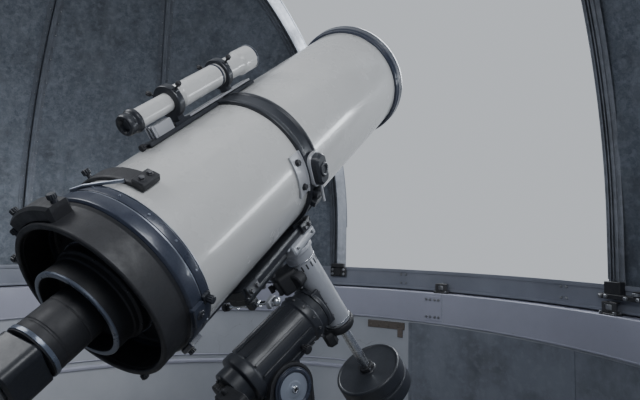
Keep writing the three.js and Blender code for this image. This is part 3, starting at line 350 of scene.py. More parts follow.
def pipe(path: Sequence, radius: float, sides: int = 16, up: Sequence = (0.0, 0.0, 1.0)) -> Solid:
    """A round tube along a path: circles across the path's direction, set out from a fixed up vector."""
    p = np.asarray(path, float)
    tangent = np.gradient(p, axis=0)
    tangent = tangent / np.linalg.norm(tangent, axis=1, keepdims=True)
    across = np.cross(tangent, up)
    across = across / np.linalg.norm(across, axis=1, keepdims=True)
    over = np.cross(tangent, across)
    angle = np.arange(sides) * 2 * np.pi / sides
    spokes = across[:, None] * np.cos(angle)[None, :, None] + over[:, None] * np.sin(angle)[None, :, None]
    return loft(p[:, None] + radius * spokes)


def knurled(radius: float, low: float, high: float, ridges: int, depth: float, edge: float = 1.5) -> Solid:
    """A round grip about Z whose side carries ridges: its radius follows a flattened sine."""
    angle = np.arange(ridges * 6) * 2 * np.pi / (ridges * 6)
    wave = np.clip(RIDGE_FLATNESS * np.sin(ridges * angle), -1, 1) * depth / 2
    levels = ((low, edge, 0), (low + edge, 0, 1), (high - edge, 0, 1), (high, edge, 0))
    rings = [about_z(angle, radius - (cut + depth / 2) + wave * share, z) for z, cut, share in levels]
    return loft(np.stack(rings))


def bow(inner: float, outer: float, half: float) -> np.ndarray:
    """A flat arc-shaped outline on the -Y side, reaching an angle in degrees to both sides."""
    spoke = about_z(np.radians(np.linspace(-half, half, 17)), 1.0, 0.0)[:, :2]
    return np.concatenate([inner * spoke, outer * spoke[::-1]])


def hex_bolt(across: float, height: float, washer: float = 2.0) -> Solid:
    """A hexagon head on a washer, standing on the plane z = 0."""
    corner = across / math.sqrt(3)
    head = prism(circle(corner, 6), washer, washer + height, HEX_CHAMFER * across)
    disc = rod(across * 0.62, -0.5, washer, min(0.6, washer / 3), 20)
    return merged(head, disc)


def cap_screw(radius: float, height: float) -> Solid:
    """A socket head screw standing on the plane z = 0, with its hollow pressed in."""
    hollow = 0.5 * radius
    profile = [
        (hollow * 0.9, height * 0.45),
        (hollow, height - 0.4),
        (radius - 0.8, height),
        (radius, height - 0.8),
        (radius, 0),
        (radius * 0.5, -0.5),
    ]
    return spindle(profile, 24)


def rivet(radius: float) -> Solid:
    """A domed rivet head on the plane z = 0."""
    dome = ((1.0, 0.3), (0.7, 0.62), (0.3, 0.75))
    return spindle([(radius, -0.4), *((r * radius, z * radius) for r, z in dome)], 10)


def mesh_of(name: str, solid: Solid) -> bpy.types.Mesh:
    """A Blender mesh in metres, smooth but for its sharper edges."""
    mesh = bpy.data.meshes.new(name)
    corners = np.concatenate([solid.quads.ravel(), *solid.caps]).astype(np.int32)
    lengths = [len(cap) for cap in solid.caps]
    sizes = np.concatenate([np.full(len(solid.quads), 4), lengths]).astype(np.int32)
    starts = np.concatenate([[0], np.cumsum(sizes)[:-1]]).astype(np.int32)
    mesh.vertices.add(len(solid.points))
    mesh.vertices.foreach_set("co", (solid.points * MM).astype(np.float32).ravel())
    mesh.loops.add(len(corners))
    mesh.loops.foreach_set("vertex_index", corners)
    mesh.polygons.add(len(sizes))
    mesh.polygons.foreach_set("loop_start", starts)
    mesh.update(calc_edges=True)
    mesh.validate()
    mesh.polygons.foreach_set("use_smooth", np.ones(len(mesh.polygons), bool))
    mesh.set_sharp_from_angle(angle=CREASE)
    return mesh


# Materials


class Graph:
    """Adds and links nodes in one shader tree."""

    def __init__(self, tree: bpy.types.NodeTree) -> None:
        self.tree = tree

    def add(self, kind: str, inputs: dict | None = None, **settings: object) -> bpy.types.Node:
        """A new node.

        Args:
            kind: The node's Blender type.
            inputs: Values or sockets for its inputs, by name or number.
            **settings: Properties of the node.

        Returns:
            The node.
        """
        node = self.tree.nodes.new(kind)
        for key, value in settings.items():
            setattr(node, key, value)
        for key, value in (inputs or {}).items():
            if isinstance(value, Socket):
                self.tree.links.new(value, node.inputs[key])
            else:
                node.inputs[key].default_value = value
        return node

    def mix(self, factor: object, a: object, b: object) -> Socket:
        """Colour a blended towards b by a factor."""
        a, b = ((*c, 1.0) if isinstance(c, tuple) and len(c) == 3 else c for c in (a, b))
        node = self.add("ShaderNodeMix", {0: factor, 6: a, 7: b}, data_type="RGBA")
        return node.outputs[2]

    def tint(self, mask: object, share: float, base: object, towards: object) -> Socket:
        """A colour blended towards another by a share of a mask."""
        return self.mix(self.math("MULTIPLY", mask, share), base, towards)

    def noise(self, vector: object, scale: object, detail: float, rough: float = 0.5) -> bpy.types.Node:
        """Layered noise over a vector."""
        inputs = {"Vector": vector, "Scale": scale, "Detail": detail, "Roughness": rough}
        return self.add("ShaderNodeTexNoise", inputs)

    def bent(self, vector: object, noise: bpy.types.Node, reach: object) -> Socket:
        """A vector pushed about by a noise's colour."""
        push = self.add(
            "ShaderNodeVectorMath", {0: noise.outputs["Color"], "Scale": reach}, operation="SCALE"
        )
        return self.add("ShaderNodeVectorMath", {0: vector, 1: push.outputs[0]}, operation="ADD").outputs[0]

    def math(self, operation: str, a: object, b: object = 0.0) -> Socket:
        """A sum, product or other plain operation on two values, kept between 0 and 1."""
        return self.add("ShaderNodeMath", {0: a, 1: b}, operation=operation, use_clamp=True).outputs[0]

    def spread(self, value: object, low: float, high: float) -> Socket:
        """A value of 0 to 1 laid over another range."""
        node = self.add("ShaderNodeMapRange", {"Value": value, "To Min": low, "To Max": high})
        return node.outputs["Result"]

    def use(self, group: bpy.types.NodeTree, **inputs: object) -> Socket:
        """The first output of a shared group, with its inputs set."""
        node = self.add("ShaderNodeGroup", node_tree=group)
        for key, value in inputs.items():
            name = key.replace("_", " ").title()
            if isinstance(value, Socket):
                self.tree.links.new(value, node.inputs[name])
            else:
                node.inputs[name].default_value = value
        return node.outputs[0]


def shared_group(name: str, numbers: dict[str, float]) -> tuple[bpy.types.NodeTree, Graph, bpy.types.Node]:
    """An empty shader group with a Vector input, number inputs and one Value output.

    Args:
        name: The group's name.
        numbers: Name and first value of each number input.

    Returns:
        The group, its graph and the node that holds its inputs.
    """
    tree = bpy.data.node_groups.new(name, "ShaderNodeTree")
    tree.interface.new_socket("Vector", in_out="INPUT", socket_type="NodeSocketVector")
    for label, value in numbers.items():
        socket = tree.interface.new_socket(label, in_out="INPUT", socket_type="NodeSocketFloat")
        socket.default_value = value
    tree.interface.new_socket("Value", in_out="OUTPUT", socket_type="NodeSocketFloat")
    graph = Graph(tree)
    return tree, graph, graph.add("NodeGroupInput")


class Effects:
    """Shader groups that the finishes share, each made once."""

    def __init__(self) -> None:
        self.clouds = self._clouds()
        self.crystals = self._crystals()
        self.streaks = self._streaks()
        self.dust = self._dust()

    def _close(self, graph: Graph, value: Socket) -> None:
        """Links a value to the group's output."""
        graph.add("NodeGroupOutput", {"Value": value})

    def _stretch(self, graph: Graph, given: bpy.types.Node, noise: bpy.types.Node) -> None:
        """Puts out a noise, stretched between the group's two levels."""
        low, high = given.outputs["Low"], given.outputs["High"]
        levels = {"Value": noise.outputs["Fac"], "From Min": low, "From Max": high}
        self._close(graph, graph.add("ShaderNodeMapRange", levels).outputs["Result"])

    def _clouds(self) -> bpy.types.NodeTree:
        """Soft patches: layered noise stretched between two levels."""
        tree, graph, given = shared_group("patches", {"Scale": 5.0, "Low": 0.35, "High": 0.65})
        noise = graph.noise(given.outputs["Vector"], given.outputs["Scale"], 5.0, 0.6)
        self._stretch(graph, given, noise)
        return tree

    def _crystals(self) -> bpy.types.NodeTree:
        """Zinc crystals: one tone for each cell, with cells bent by noise and mixed with finer ones."""
        tree, graph, given = shared_group("crystals", {"Scale": 60.0, "Bend": 0.02})
        vector, size = given.outputs["Vector"], given.outputs["Scale"]
        bent = graph.bent(vector, graph.noise(vector, size, 2.0), given.outputs["Bend"])
        tones = []
        for factor in (1.0, 2.7):
            scale = graph.add("ShaderNodeMath", {0: size, 1: factor}, operation="MULTIPLY")
            cells = graph.add("ShaderNodeTexVoronoi", {"Vector": bent, "Scale": scale.outputs[0]})
            tones.append(graph.add("ShaderNodeSeparateColor", {"Color": cells.outputs["Color"]}).outputs[0])
        whole = graph.add("ShaderNodeMath", {0: tones[0], 1: tones[1]}, operation="ADD")
        half = graph.add("ShaderNodeMath", {0: whole.outputs[0], 1: 0.5}, operation="MULTIPLY")
        self._close(graph, half.outputs[0])
        return tree

    def _streaks(self) -> bpy.types.NodeTree:
        """Marks that run down: noise drawn out along Z."""
        tree, graph, given = shared_group("streaks", {"Scale": 8.0, "Low": 0.45, "High": 0.7})
        drawn = {"Vector": given.outputs["Vector"], "Scale": (1.0, 1.0, 0.14)}
        scaled = graph.add("ShaderNodeMapping", drawn)
        self._stretch(graph, given, graph.noise(scaled.outputs[0], given.outputs["Scale"], 6.0))
        return tree

    def _dust(self) -> bpy.types.NodeTree:
        """Settled dust: thicker where the surface faces up, broken by patches."""
        tree, graph, given = shared_group("settled_dust", {"Amount": 0.4})
        normal = graph.add("ShaderNodeTexCoord").outputs["Normal"]
        up = graph.add("ShaderNodeSeparateXYZ", {"Vector": normal}).outputs["Z"]
        facing = graph.add("ShaderNodeMapRange", {"Value": up, "From Min": 0.1, "From Max": 1.0})
        noise = graph.noise(given.outputs["Vector"], 26.0, 6.0)
        patchy = graph.math("MULTIPLY", facing.outputs["Result"], noise.outputs["Fac"])
        self._close(graph, graph.math("MULTIPLY", patchy, given.outputs["Amount"]))
        return tree


@dataclass(frozen=True)
class Finish:
    """A finish that pieces share.

    Attributes:
        name: The material's name.
        slot: Name of a material slot; not used.
        colour: Main colour, linear.
        second: Colour of its patches, linear.
        roughness: Middle of its roughness.
        metallic: 1 for bare metal.
    """

    name: str
    slot: str
    colour: Triple
    second: Triple
    roughness: float
    metallic: float = 0.0

    def material(self, effects: Effects) -> bpy.types.Material:
        """The material, made on first use."""
        known = bpy.data.materials.get(self.name)
        if known:
            return known
        material = bpy.data.materials.new(self.name)
        material.use_nodes = True
        graph = Graph(material.node_tree)
        shader = material.node_tree.nodes["Principled BSDF"]
        shader.inputs["Metallic"].default_value = self.metallic
        where = graph.add("ShaderNodeTexCoord").outputs["Object"]
        for socket, name in zip(self.surface(graph, effects, where), ("Base Color", "Roughness", "Normal")):
            material.node_tree.links.new(socket, shader.inputs[name])
        self.extras(shader)
        return material

    def surface(self, graph: Graph, effects: Effects, where: Socket) -> tuple:
        """Colour, roughness and normal sockets of the surface."""
        raise NotImplementedError

    def extras(self, shader: bpy.types.Node) -> None:
        """Sets further sockets of the Principled shader."""

    def bump(self, graph: Graph, height: Socket, strength: float, distance: float) -> Socket:
        """A normal from a height, with the depth in millimetres."""
        values = {"Height": height, "Strength": strength, "Distance": distance * MM}
        return graph.add("ShaderNodeBump", values).outputs["Normal"]


@dataclass(frozen=True)
class Paint(Finish):
    """Brushed or sprayed paint: orange peel, soft patches, settled dust and small chips."""

    patch_scale: float = 5.0
    patch_share: float = 0.6
    peel_scale: float = 900.0
    peel: float = 0.12
    dust: float = 0.35
    dust_colour: Triple = (0.42, 0.40, 0.37)
    chips: float = 0.0
    chip_colour: Triple = (0.30, 0.29, 0.28)
    coat: float = 0.0
    coat_roughness: float = 0.08
    speckle_scale: float = 190.0
    speckle_share: float = 0.12
    chip_scale: float = 75.0

    def surface(self, graph: Graph, effects: Effects, where: Socket) -> tuple:
        """Colour, roughness and normal sockets of the paint."""
        patches = graph.use(effects.clouds, vector=where, scale=self.patch_scale)
        colour = graph.tint(patches, self.patch_share, self.colour, self.second)
        speckle = graph.use(effects.clouds, vector=where, scale=self.speckle_scale, low=0.3, high=0.8)
        colour = graph.tint(speckle, self.speckle_share, colour, self.dust_colour)
        if self.chips:
            low, high = 0.70 - self.chips, 0.74 - self.chips
            worn = graph.use(effects.clouds, vector=where, scale=self.chip_scale, low=low, high=high)
            colour = graph.mix(worn, colour, self.chip_colour)
        dust = graph.use(effects.dust, vector=where, amount=self.dust)
        colour = graph.mix(dust, colour, self.dust_colour)
        smear = graph.use(effects.clouds, vector=where, scale=self.patch_scale * 3.1, low=0.3, high=0.7)
        rough = graph.spread(smear, self.roughness * 0.8, self.roughness * 1.25)
        rough = graph.math("ADD", rough, graph.math("MULTIPLY", dust, 0.5))
        peel = graph.noise(where, self.peel_scale, 3.0)
        return colour, rough, self.bump(graph, peel.outputs["Fac"], self.peel, 0.5)

    def extras(self, shader: bpy.types.Node) -> None:
        """A clear gloss over the paint, where the finish has one."""
        shader.inputs["Coat Weight"].default_value = self.coat
        shader.inputs["Coat Roughness"].default_value = self.coat_roughness


@dataclass(frozen=True)
class Zinc(Finish):
    """Galvanised sheet: crystal tones, dull cloudy patches, faint streaks and a slight dimpling."""

    crystal_scale: float = 42.0
    crystal_share: float = 0.55
    dull: Triple = (0.05, 0.055, 0.065)
    dull_share: float = 0.55
    streak_share: float = 0.28
    smudge_share: float = 0.35

    def surface(self, graph: Graph, effects: Effects, where: Socket) -> tuple:
        """Colour, roughness and normal sockets of the sheet."""
        crystals = graph.use(effects.crystals, vector=where, scale=self.crystal_scale)
        colour = graph.tint(crystals, self.crystal_share, self.colour, self.second)
        patches = graph.use(effects.clouds, vector=where, scale=3.2, low=0.42, high=0.68)
        colour = graph.tint(patches, self.dull_share, colour, self.dull)
        marks = graph.use(effects.streaks, vector=where, scale=9.0)
        colour = graph.tint(marks, self.streak_share, colour, self.second)
        smudge = graph.use(effects.clouds, vector=where, scale=21.0, low=0.5, high=0.66)
        colour = graph.tint(smudge, self.smudge_share, colour, self.second)
        rough = graph.spread(crystals, self.roughness * 0.8, self.roughness * 1.2)
        rough = graph.math("ADD", rough, graph.math("MULTIPLY", patches, 0.15))
        dents = graph.noise(where, 34.0, 4.0)
        return colour, rough, self.bump(graph, dents.outputs["Fac"], 0.35, 3.0)


@dataclass(frozen=True)
class Bare(Finish):
    """Turned or ground steel: fine tool lines along one direction and faint stains."""

    lines: Triple = (1.0, 1.0, 30.0)

    def surface(self, graph: Graph, effects: Effects, where: Socket) -> tuple:
        """Colour, roughness and normal sockets of the metal."""
        stain = graph.use(effects.clouds, vector=where, scale=14.0, low=0.4, high=0.75)
        colour = graph.tint(stain, 0.5, self.colour, self.second)
        drawn = graph.add("ShaderNodeMapping", {"Vector": where, "Scale": self.lines})
        noise = graph.noise(drawn.outputs[0], 60.0, 5.0)
        rough = graph.spread(noise.outputs["Fac"], self.roughness * 0.6, self.roughness * 1.5)
        return colour, rough, self.bump(graph, noise.outputs["Fac"], 0.12, 0.3)


@dataclass(frozen=True)
class Masonry(Finish):
    """Plaster or concrete: sandy grain, trowel waves, stains that run down and hairline cracks."""

    grain: float = 260.0
    crack_scale: float = 1.6
    crack_width: float = 0.004
    crack_colour: Triple = (0.12, 0.11, 0.10)

    def surface(self, graph: Graph, effects: Effects, where: Socket) -> tuple:
        """Colour, roughness and normal sockets of the surface."""
        patches = graph.use(effects.clouds, vector=where, scale=1.9)
        colour = graph.tint(patches, 0.5, self.colour, self.second)
        marks = graph.use(effects.streaks, vector=where, scale=5.0, low=0.5, high=0.8)
        colour = graph.tint(marks, 0.3, colour, self.second)
        bent = graph.bent(where, graph.noise(where, 6.0, 4.0), 0.25)
        cells = {"Vector": bent, "Scale": self.crack_scale}
        crack = graph.add("ShaderNodeTexVoronoi", cells, feature="DISTANCE_TO_EDGE").outputs["Distance"]
        thin = {"Value": crack, "From Min": 0.0, "From Max": self.crack_width, "To Min": 1.0, "To Max": 0.0}
        line = graph.add("ShaderNodeMapRange", thin)
        few = graph.use(effects.clouds, vector=where, scale=1.1, low=0.55, high=0.6)
        crack_here = graph.math("MULTIPLY", line.outputs["Result"], few)
        colour = graph.tint(crack_here, 0.6, colour, self.crack_colour)
        grain = graph.noise(where, self.grain, 5.0)
        wave = graph.use(effects.clouds, vector=where, scale=7.0)
        fine, broad = (graph.math("MULTIPLY", height, 0.5) for height in (grain.outputs["Fac"], wave))
        height = graph.math("ADD", fine, broad)
        return colour, graph.spread(patches, self.roughness, 0.95), self.bump(graph, height, 0.5, 1.5)


@dataclass(frozen=True)
class Mirror(Finish):
    """An aluminised mirror with a faint veil of dust."""

    def surface(self, graph: Graph, effects: Effects, where: Socket) -> tuple:
        """Colour, roughness and normal sockets of the mirror."""
        veil = graph.use(effects.clouds, vector=where, scale=40.0, low=0.45, high=0.8)
        colour = graph.tint(veil, 0.1, self.colour, self.second)
        rough = graph.spread(veil, self.roughness, self.roughness * 3)
        return colour, rough, self.bump(graph, veil, 0.02, 0.1)


# The lining zinc is far darker and bluer than bare galvanised sheet: painted shade and a painted blue cast,
# standing in for the dim light inside the dome. Its crystals, dull patches and streaks are the sheet's own.
LINING_SHADED = Zinc("lining_sheet", "galvanised_lining", (0.10, 0.12, 0.15), (0.27, 0.30, 0.345), 0.44, 0.55)
# A lighter copy of the lining zinc: a painted highlight, so the ribs read as lit edges against the darker
# lining. The seams outside and the shutter rails share it.
RIB_STEEL_LIT = Zinc(
    "rib_steel_painted_highlight", "galvanised_lining", (0.17, 0.19, 0.225), (0.27, 0.295, 0.335), 0.36, 0.7,
    crystal_scale=70.0, crystal_share=0.35,
)
GIRDER_STEEL = Zinc(
    "girder_steel", "galvanised_lining", (0.17, 0.185, 0.215), (0.30, 0.32, 0.36), 0.42, 0.55,
    crystal_scale=55.0, crystal_share=0.3,
)
BAND_PAINT = Paint(
    "band_paint", "pale_steel", (0.40, 0.41, 0.50), (0.32, 0.33, 0.41), 0.42, 0.1,
    patch_scale=2.5, chips=0.03, dust=0.15, dust_colour=(0.5, 0.5, 0.52),
)
WALL_SHEET = Zinc(
    "wall_sheet", "galvanised_lining", (0.19, 0.21, 0.25), (0.27, 0.295, 0.34), 0.5, 0.3, crystal_share=0.25
)
SKIRT_PAINT = Paint(
    "skirt_paint", "pale_steel", (0.25, 0.27, 0.325), (0.17, 0.185, 0.225), 0.5, 0.2,
    patch_scale=3.0, dust=0.3,
)
ROLLER_STEEL = Paint(
    "roller_casting", "black_casting", (0.035, 0.038, 0.045), (0.07, 0.07, 0.075), 0.5, 0.3, chips=0.04
)
PLASTER = Masonry("wall_plaster", "plaster", (0.42, 0.44, 0.48), (0.30, 0.32, 0.36), 0.85)
CONCRETE = Masonry(
    "floor_concrete", "concrete", (0.33, 0.32, 0.30), (0.24, 0.235, 0.22), 0.8, grain=180.0, crack_scale=0.9
)
DOOR_PAINT = Paint(
    "door_enamel", "door_paint", (0.15, 0.18, 0.215), (0.12, 0.145, 0.175), 0.4, chips=0.02, dust=0.2
)
RUSTY = Paint(
    "rusty_clip", "black_casting", (0.15, 0.125, 0.11), (0.09, 0.08, 0.072), 0.75, 0.2,
    patch_scale=40.0, peel=0.5,
)
BLACK = Paint(
    "black_enamel", "black_casting", (0.013, 0.015, 0.021), (0.022, 0.025, 0.033), 0.4, 0.0,
    patch_scale=6.0, dust=0.18, dust_colour=(0.13, 0.14, 0.155), coat=0.12,
)
BLACK_MATT = Paint(
    "black_matt", "black_casting", (0.014, 0.015, 0.018), (0.024, 0.024, 0.028), 0.55, 0.0,
    patch_scale=8.0, peel=0.3, dust=0.18, dust_colour=(0.11, 0.11, 0.12),
)
BLUE_BLACK = Paint(
    "blue_black", "black_casting", (0.020, 0.026, 0.045), (0.035, 0.042, 0.065), 0.3, 0.1,
    patch_scale=5.0, dust=0.15, dust_colour=(0.18, 0.20, 0.25), coat=0.3,
)
# The tube's off-white paint is made grey and darker: painted shade for the dim light inside the dome. The
# finder's tube shares it.
CREAM_SHADED = Paint(
    "cream_gloss_painted_shade", "cream_paint", (0.56, 0.56, 0.555), (0.50, 0.50, 0.49), 0.24, 0.0,
    patch_scale=3.0, peel_scale=620.0, peel=0.16, dust=0.12, dust_colour=(0.52, 0.50, 0.46), coat=0.5,
)
GREY = Paint(
    "grey_enamel", "grey_casting", (0.36, 0.375, 0.41), (0.29, 0.30, 0.335), 0.36, 0.1,
    patch_scale=9.0, dust=0.15, chips=0.02, coat=0.2,
)
SILVER = Bare(
    "pivot_face", "grey_casting", (0.42, 0.46, 0.53), (0.33, 0.36, 0.42), 0.38, 0.7,
    lines=(12.0, 12.0, 12.0),
)
BRIGHT = Bare("turned_steel", "bright_steel", (0.62, 0.64, 0.67), (0.46, 0.47, 0.49), 0.24, 1.0)
BOLT_STEEL = Bare(
    "bolt_steel", "bright_steel", (0.30, 0.31, 0.33), (0.17, 0.165, 0.16), 0.42, 0.9, lines=(8.0, 8.0, 8.0)
)
SEAM_STEEL = Bare(
    "seam_steel", "bright_steel", (0.34, 0.37, 0.43), (0.24, 0.26, 0.31), 0.34, 0.9, lines=(6.0, 6.0, 6.0)
)
DULL_BOLT = Paint("dull_bolt", "black_casting", (0.06, 0.063, 0.075), (0.09, 0.092, 0.10), 0.42, 0.4)
# A lighter blue-grey paint for thin rims and bands on dark parts: a painted highlight on their edges.
RIM_HIGHLIGHT = Paint(
    "rim_blue_painted_highlight", "black_casting", (0.10, 0.125, 0.175), (0.14, 0.17, 0.23), 0.28, 0.3,
    peel=0.05, dust=0.1, coat=0.3,
)
LATCH_PAINT = Paint(
    "latch_enamel", "bright_steel", (0.50, 0.51, 0.54), (0.42, 0.43, 0.46), 0.32, 0.3, coat=0.2
)
LENS = Mirror("lens_glass", "mirror_glass", (0.05, 0.07, 0.10), (0.10, 0.12, 0.15), 0.03, 0.0)
GLASS = Mirror("mirror_coat", "mirror_glass", (0.88, 0.90, 0.92), (0.75, 0.76, 0.78), 0.02, 1.0)


# Making pieces


@dataclass
class SubAssembly:
    """A group of pieces; its methods build them and dress them."""

    effects: Effects
    made: list[str] = field(default_factory=list)
    body: Body = Body.BUILDING

    def piece(
        self,
        name: str,
        finish: Finish,
        *solids: Solid,
        replaces: Sequence[str] = (),
        body: Body | None = None,
    ) -> bpy.types.Object:
        """One piece of the model.

        Args:
            name: The piece's name.
            finish: Its finish.
            *solids: Closed meshes in the building's frame, in millimetres.
            replaces: CAD nodes that it stands for.
            body: The body it rides on, where that isn't the group's own.

        Returns:
            The Blender object, which sits at the origin.
        """
        body = body or self.body
        piece = bpy.data.objects.new(name, mesh_of(name, merged(*solids)))
        piece.data.materials.append(finish.material(self.effects))
        bpy.context.scene.collection.objects.link(piece)
        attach(piece, body.value)
        if replaces:
            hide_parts(*replaces)
        self.made.append(name)
        log.info("%s: %d faces", name, len(piece.data.polygons))
        return piece

    def build(self) -> None:
        """Builds every piece of the group."""
        raise NotImplementedError


# Building


@dataclass
class Drum(SubAssembly):
    """The masonry wall with its plinth, ledge and lining sheet, the floor slab and the rear door."""

    inner: float = 2466.0
    outer: float = 2606.0
    top: float = 2061.7
    floor_top: float = 120.0
    floor_radius: float = 2460.8
    pier_centre: tuple[float, float] = (-564.0, -122.0)
    pier_hole: float = 152.0
    door_half: float = 445.0
    opening_half: float = 400.0
    opening_top: float = 1940.0
    frame_top: float = 1984.7
    ledge: float = 1600.0
    cable: float = 1674.0
    clip: float = 1978.0
    sheet_top: float = 2046.0
    sheet_seams: tuple[float, ...] = (9.6, -21.0, -52.0)

    def build(self) -> None:
        """Wall, floor and door."""
        self._wall()
        self._floor()
        self._door()

    def _strip(self, outline: Sequence, half: float, rear: bool, sides: int) -> Solid:
        """A closed (radius, height) outline turned about Z and cut off in planes of equal |x| at the door.

        Args:
            outline: Points of the section.
            half: Distance of the cut planes from the door's middle.
            rear: True for the short stretch over the door, False for all the rest.
            sides: Number of steps.

        Returns:
            The closed mesh.
        """
        r, z = np.asarray(outline, float).T
        edge = np.arcsin(half / r)
        low, high = (np.pi - edge, np.pi + edge) if rear else (-np.pi + edge, np.pi - edge)
        azimuth = low + (high - low) * np.linspace(0, 1, sides + 1)[:, None]
        return loft(about_z(azimuth, r, z))

    def _wall(self) -> None:
        """The wall as one round body beside the door and a piece over it, with its mouldings."""
        section = rectangle((self.inner, 0), (self.outer, self.top), 4)
        over = rectangle((self.inner, self.frame_top + 2), (self.outer, self.top), 3)
        names = ("front", "right", "left", "rear_right", "rear_left", "over_door")
        self.piece(
            "drum_wall",
            PLASTER,
            self._strip(section, self.door_half, False, 288),
            self._strip(over, self.door_half, True, 12),
            replaces=[f"wall_{name}" for name in names],
        )
        out = self.outer
        plinth = rounded([(out - 1, 0), (out + 12, 0), (out + 12, 190), (out + 3, 206), (out - 1, 206)], 3)
        base = self._strip(plinth, self.door_half + 40, False, 288)
        self.piece("wall_plinth", CONCRETE, base)
        inside = self.inner
        ledge = [(inside + x, self.ledge + z) for x, z in ((1, 0), (-12, 3), (-14, 22), (-6, 34), (1, 36))]
        cable = [(inside + x, self.cable + z) for x, z in ((-8, -6), (-12, 0), (-8, 6), (-2, 0))]
        runs = (rounded(ledge, 3), cable)
        self.piece("wall_ledge", BAND_PAINT, *(ring(run, 100, 10.2, 100) for run in runs))
        low, top, clip = self.floor_top + 90, self.sheet_top, self.clip
        sheet = rectangle((inside + 1, low), (inside - 6, top), 1.5)
        seam = rectangle((inside - 5, low + 4), (inside - 11, top - 2), 1.5)
        seams = [ring(seam, 2, a, a + 0.5) for a in self.sheet_seams]
        self.piece("wall_lining_sheet", WALL_SHEET, ring(sheet, 90, -60, 10.0), *seams)
        strip = [(inside + x, clip + z) for x, z in ((1, 0), (-9, 0), (-9, 48), (-14, 52), (1, 60))]
        angle = hoop(strip, 1.5, 16, 11.0, 18.6)
        inward = WORLD.outward(11.9, inside, clip - 18).flipped()
        tongue = block((-22, -44, 0), (22, 30, 12), 4, 1.5).placed(inward)
        bolts = [WORLD.outward(a, inside - 9, clip + 24).flipped() for a in (12.2, 14.4, 16.2, 18.0)]
        self.piece("ring_clips", RUSTY, angle, tongue, hex_bolt(15, 8).copies(bolts))

    def _floor(self) -> None:
        """The slab: a disc whose hole for the pier lies off its middle, drawn between two circles."""
        sides = 120
        unit = about_z(np.arange(sides) * 2 * np.pi / sides, 1.0, 0.0)[:, :2]
        hole = unit * self.pier_hole + self.pier_centre
        edge = unit * self.floor_radius
        layers = [(hole, 0.0), (hole, self.floor_top - 4), (hole + unit * 4, self.floor_top)]
        layers += [(edge - unit * 6, self.floor_top), (edge, self.floor_top - 6), (edge, 0.0)]
        rings = np.stack([np.column_stack([flat, np.full(sides, z)]) for flat, z in layers], 1)
        self.piece("concrete_floor", CONCRETE, loft(rings, True), replaces=["floor_slab"])

    def _door(self) -> None:
        """The steel frame, the leaf with its pressed panels, hinges and lever handles."""
        front, back = self.inner + 10, self.outer - 25
        half, low, top = self.opening_half, self.floor_top, self.opening_top
        frame = [(0.0, front + 3), (0.06, front), (0.94, front), (1.0, front + 3)]
        frame += [(1.0, back - 3), (0.94, back), (0.06, back), (0.0, back - 3)]
        stop = [(0.0, back - 62), (0.0, back - 54), (-0.35, back - 54), (-0.35, back - 62)]
        parts = [self._jamb(profile) for profile in (frame, stop)]
        self.piece("door_frame_steel", DOOR_PAINT, *parts, replaces=["door_frame"])
        face = back - 8
        leaf = block((-half + 3, face - 42, low + 1), (half - 3, face, top - 3), 3, 2, Along.Y)
        panels = []
        for z0, z1 in ((low + 120, low + 820), (low + 920, top - 130)):
            for y0, y1 in ((face - 1, face + 5), (face - 47, face - 41)):
                panels.append(self._border(-half + 110, z0, half - 110, z1, y0, y1))
        hinge = WORLD.moved(x=-half - 1, y=back - 4)
        knuckles = [rod(8, z, z + 90, 1.5, 24).placed(hinge) for z in (low + 150, low + 850, top - 260)]
        solids = [leaf, *panels, *knuckles]
        self.piece("door_leaf_steel", DOOR_PAINT, *solids, replaces=["door_leaf"])
        height = low + 1000
        handles = []
        for y, sign in ((face, 1), (face - 42, -1)):
            plate = block((half - 76, -105, 0), (half - 38, 105, 5), 10, 1.5)
            bend = ((57, 0), (57, 26), (62, 38), (80, 42), (168, 42))
            lever = pipe([(half - x, 0, z) for x, z in bend], 9, up=(0, 1, 0))
            key = rod(9, 3, 9, 1.5, 24).placed(WORLD.moved(x=half - 57, y=-72))
            turn = np.array([[1, 0, 0], [0, 0, 1], [0, sign, 0]], float)
            handle = merged(plate, lever, key).placed(Axes(np.array([0, y, height], float), turn))
            handles.append(handle.outward())
        self.piece("door_handles", BRIGHT, *handles)

    def _jamb(self, profile: Sequence) -> Solid:
        """A (share, y) profile carried round the doorway, with share 0 at the leaf and 1 at the wall."""
        out = self.door_half - 0.3
        near = rectangle((-self.opening_half, self.floor_top), (self.opening_half, self.opening_top))
        far = rectangle((-out, 2), (out, self.frame_top))
        corners = [[(*(i + (o - i) * t), y) for t, y in profile] for i, o in zip(near, far)]
        return loft(np.array(corners)[..., [0, 2, 1]], around=True)

    def _border(self, x0: float, z0: float, x1: float, z1: float, y0: float, y1: float) -> Solid:
        """A raised rectangular border on the door's leaf."""
        outer = rectangle((x0, z0), (x1, z1))
        rings = [(0, y0), (0, y1 - 2), (4, y1), (18, y1), (22, y1 - 2), (22, y0)]
        layers = [np.column_stack([inset(outer, d + 0.01), np.full(4, y)])[:, [0, 2, 1]] for d, y in rings]
        return loft(np.stack(layers, 1), around=True)


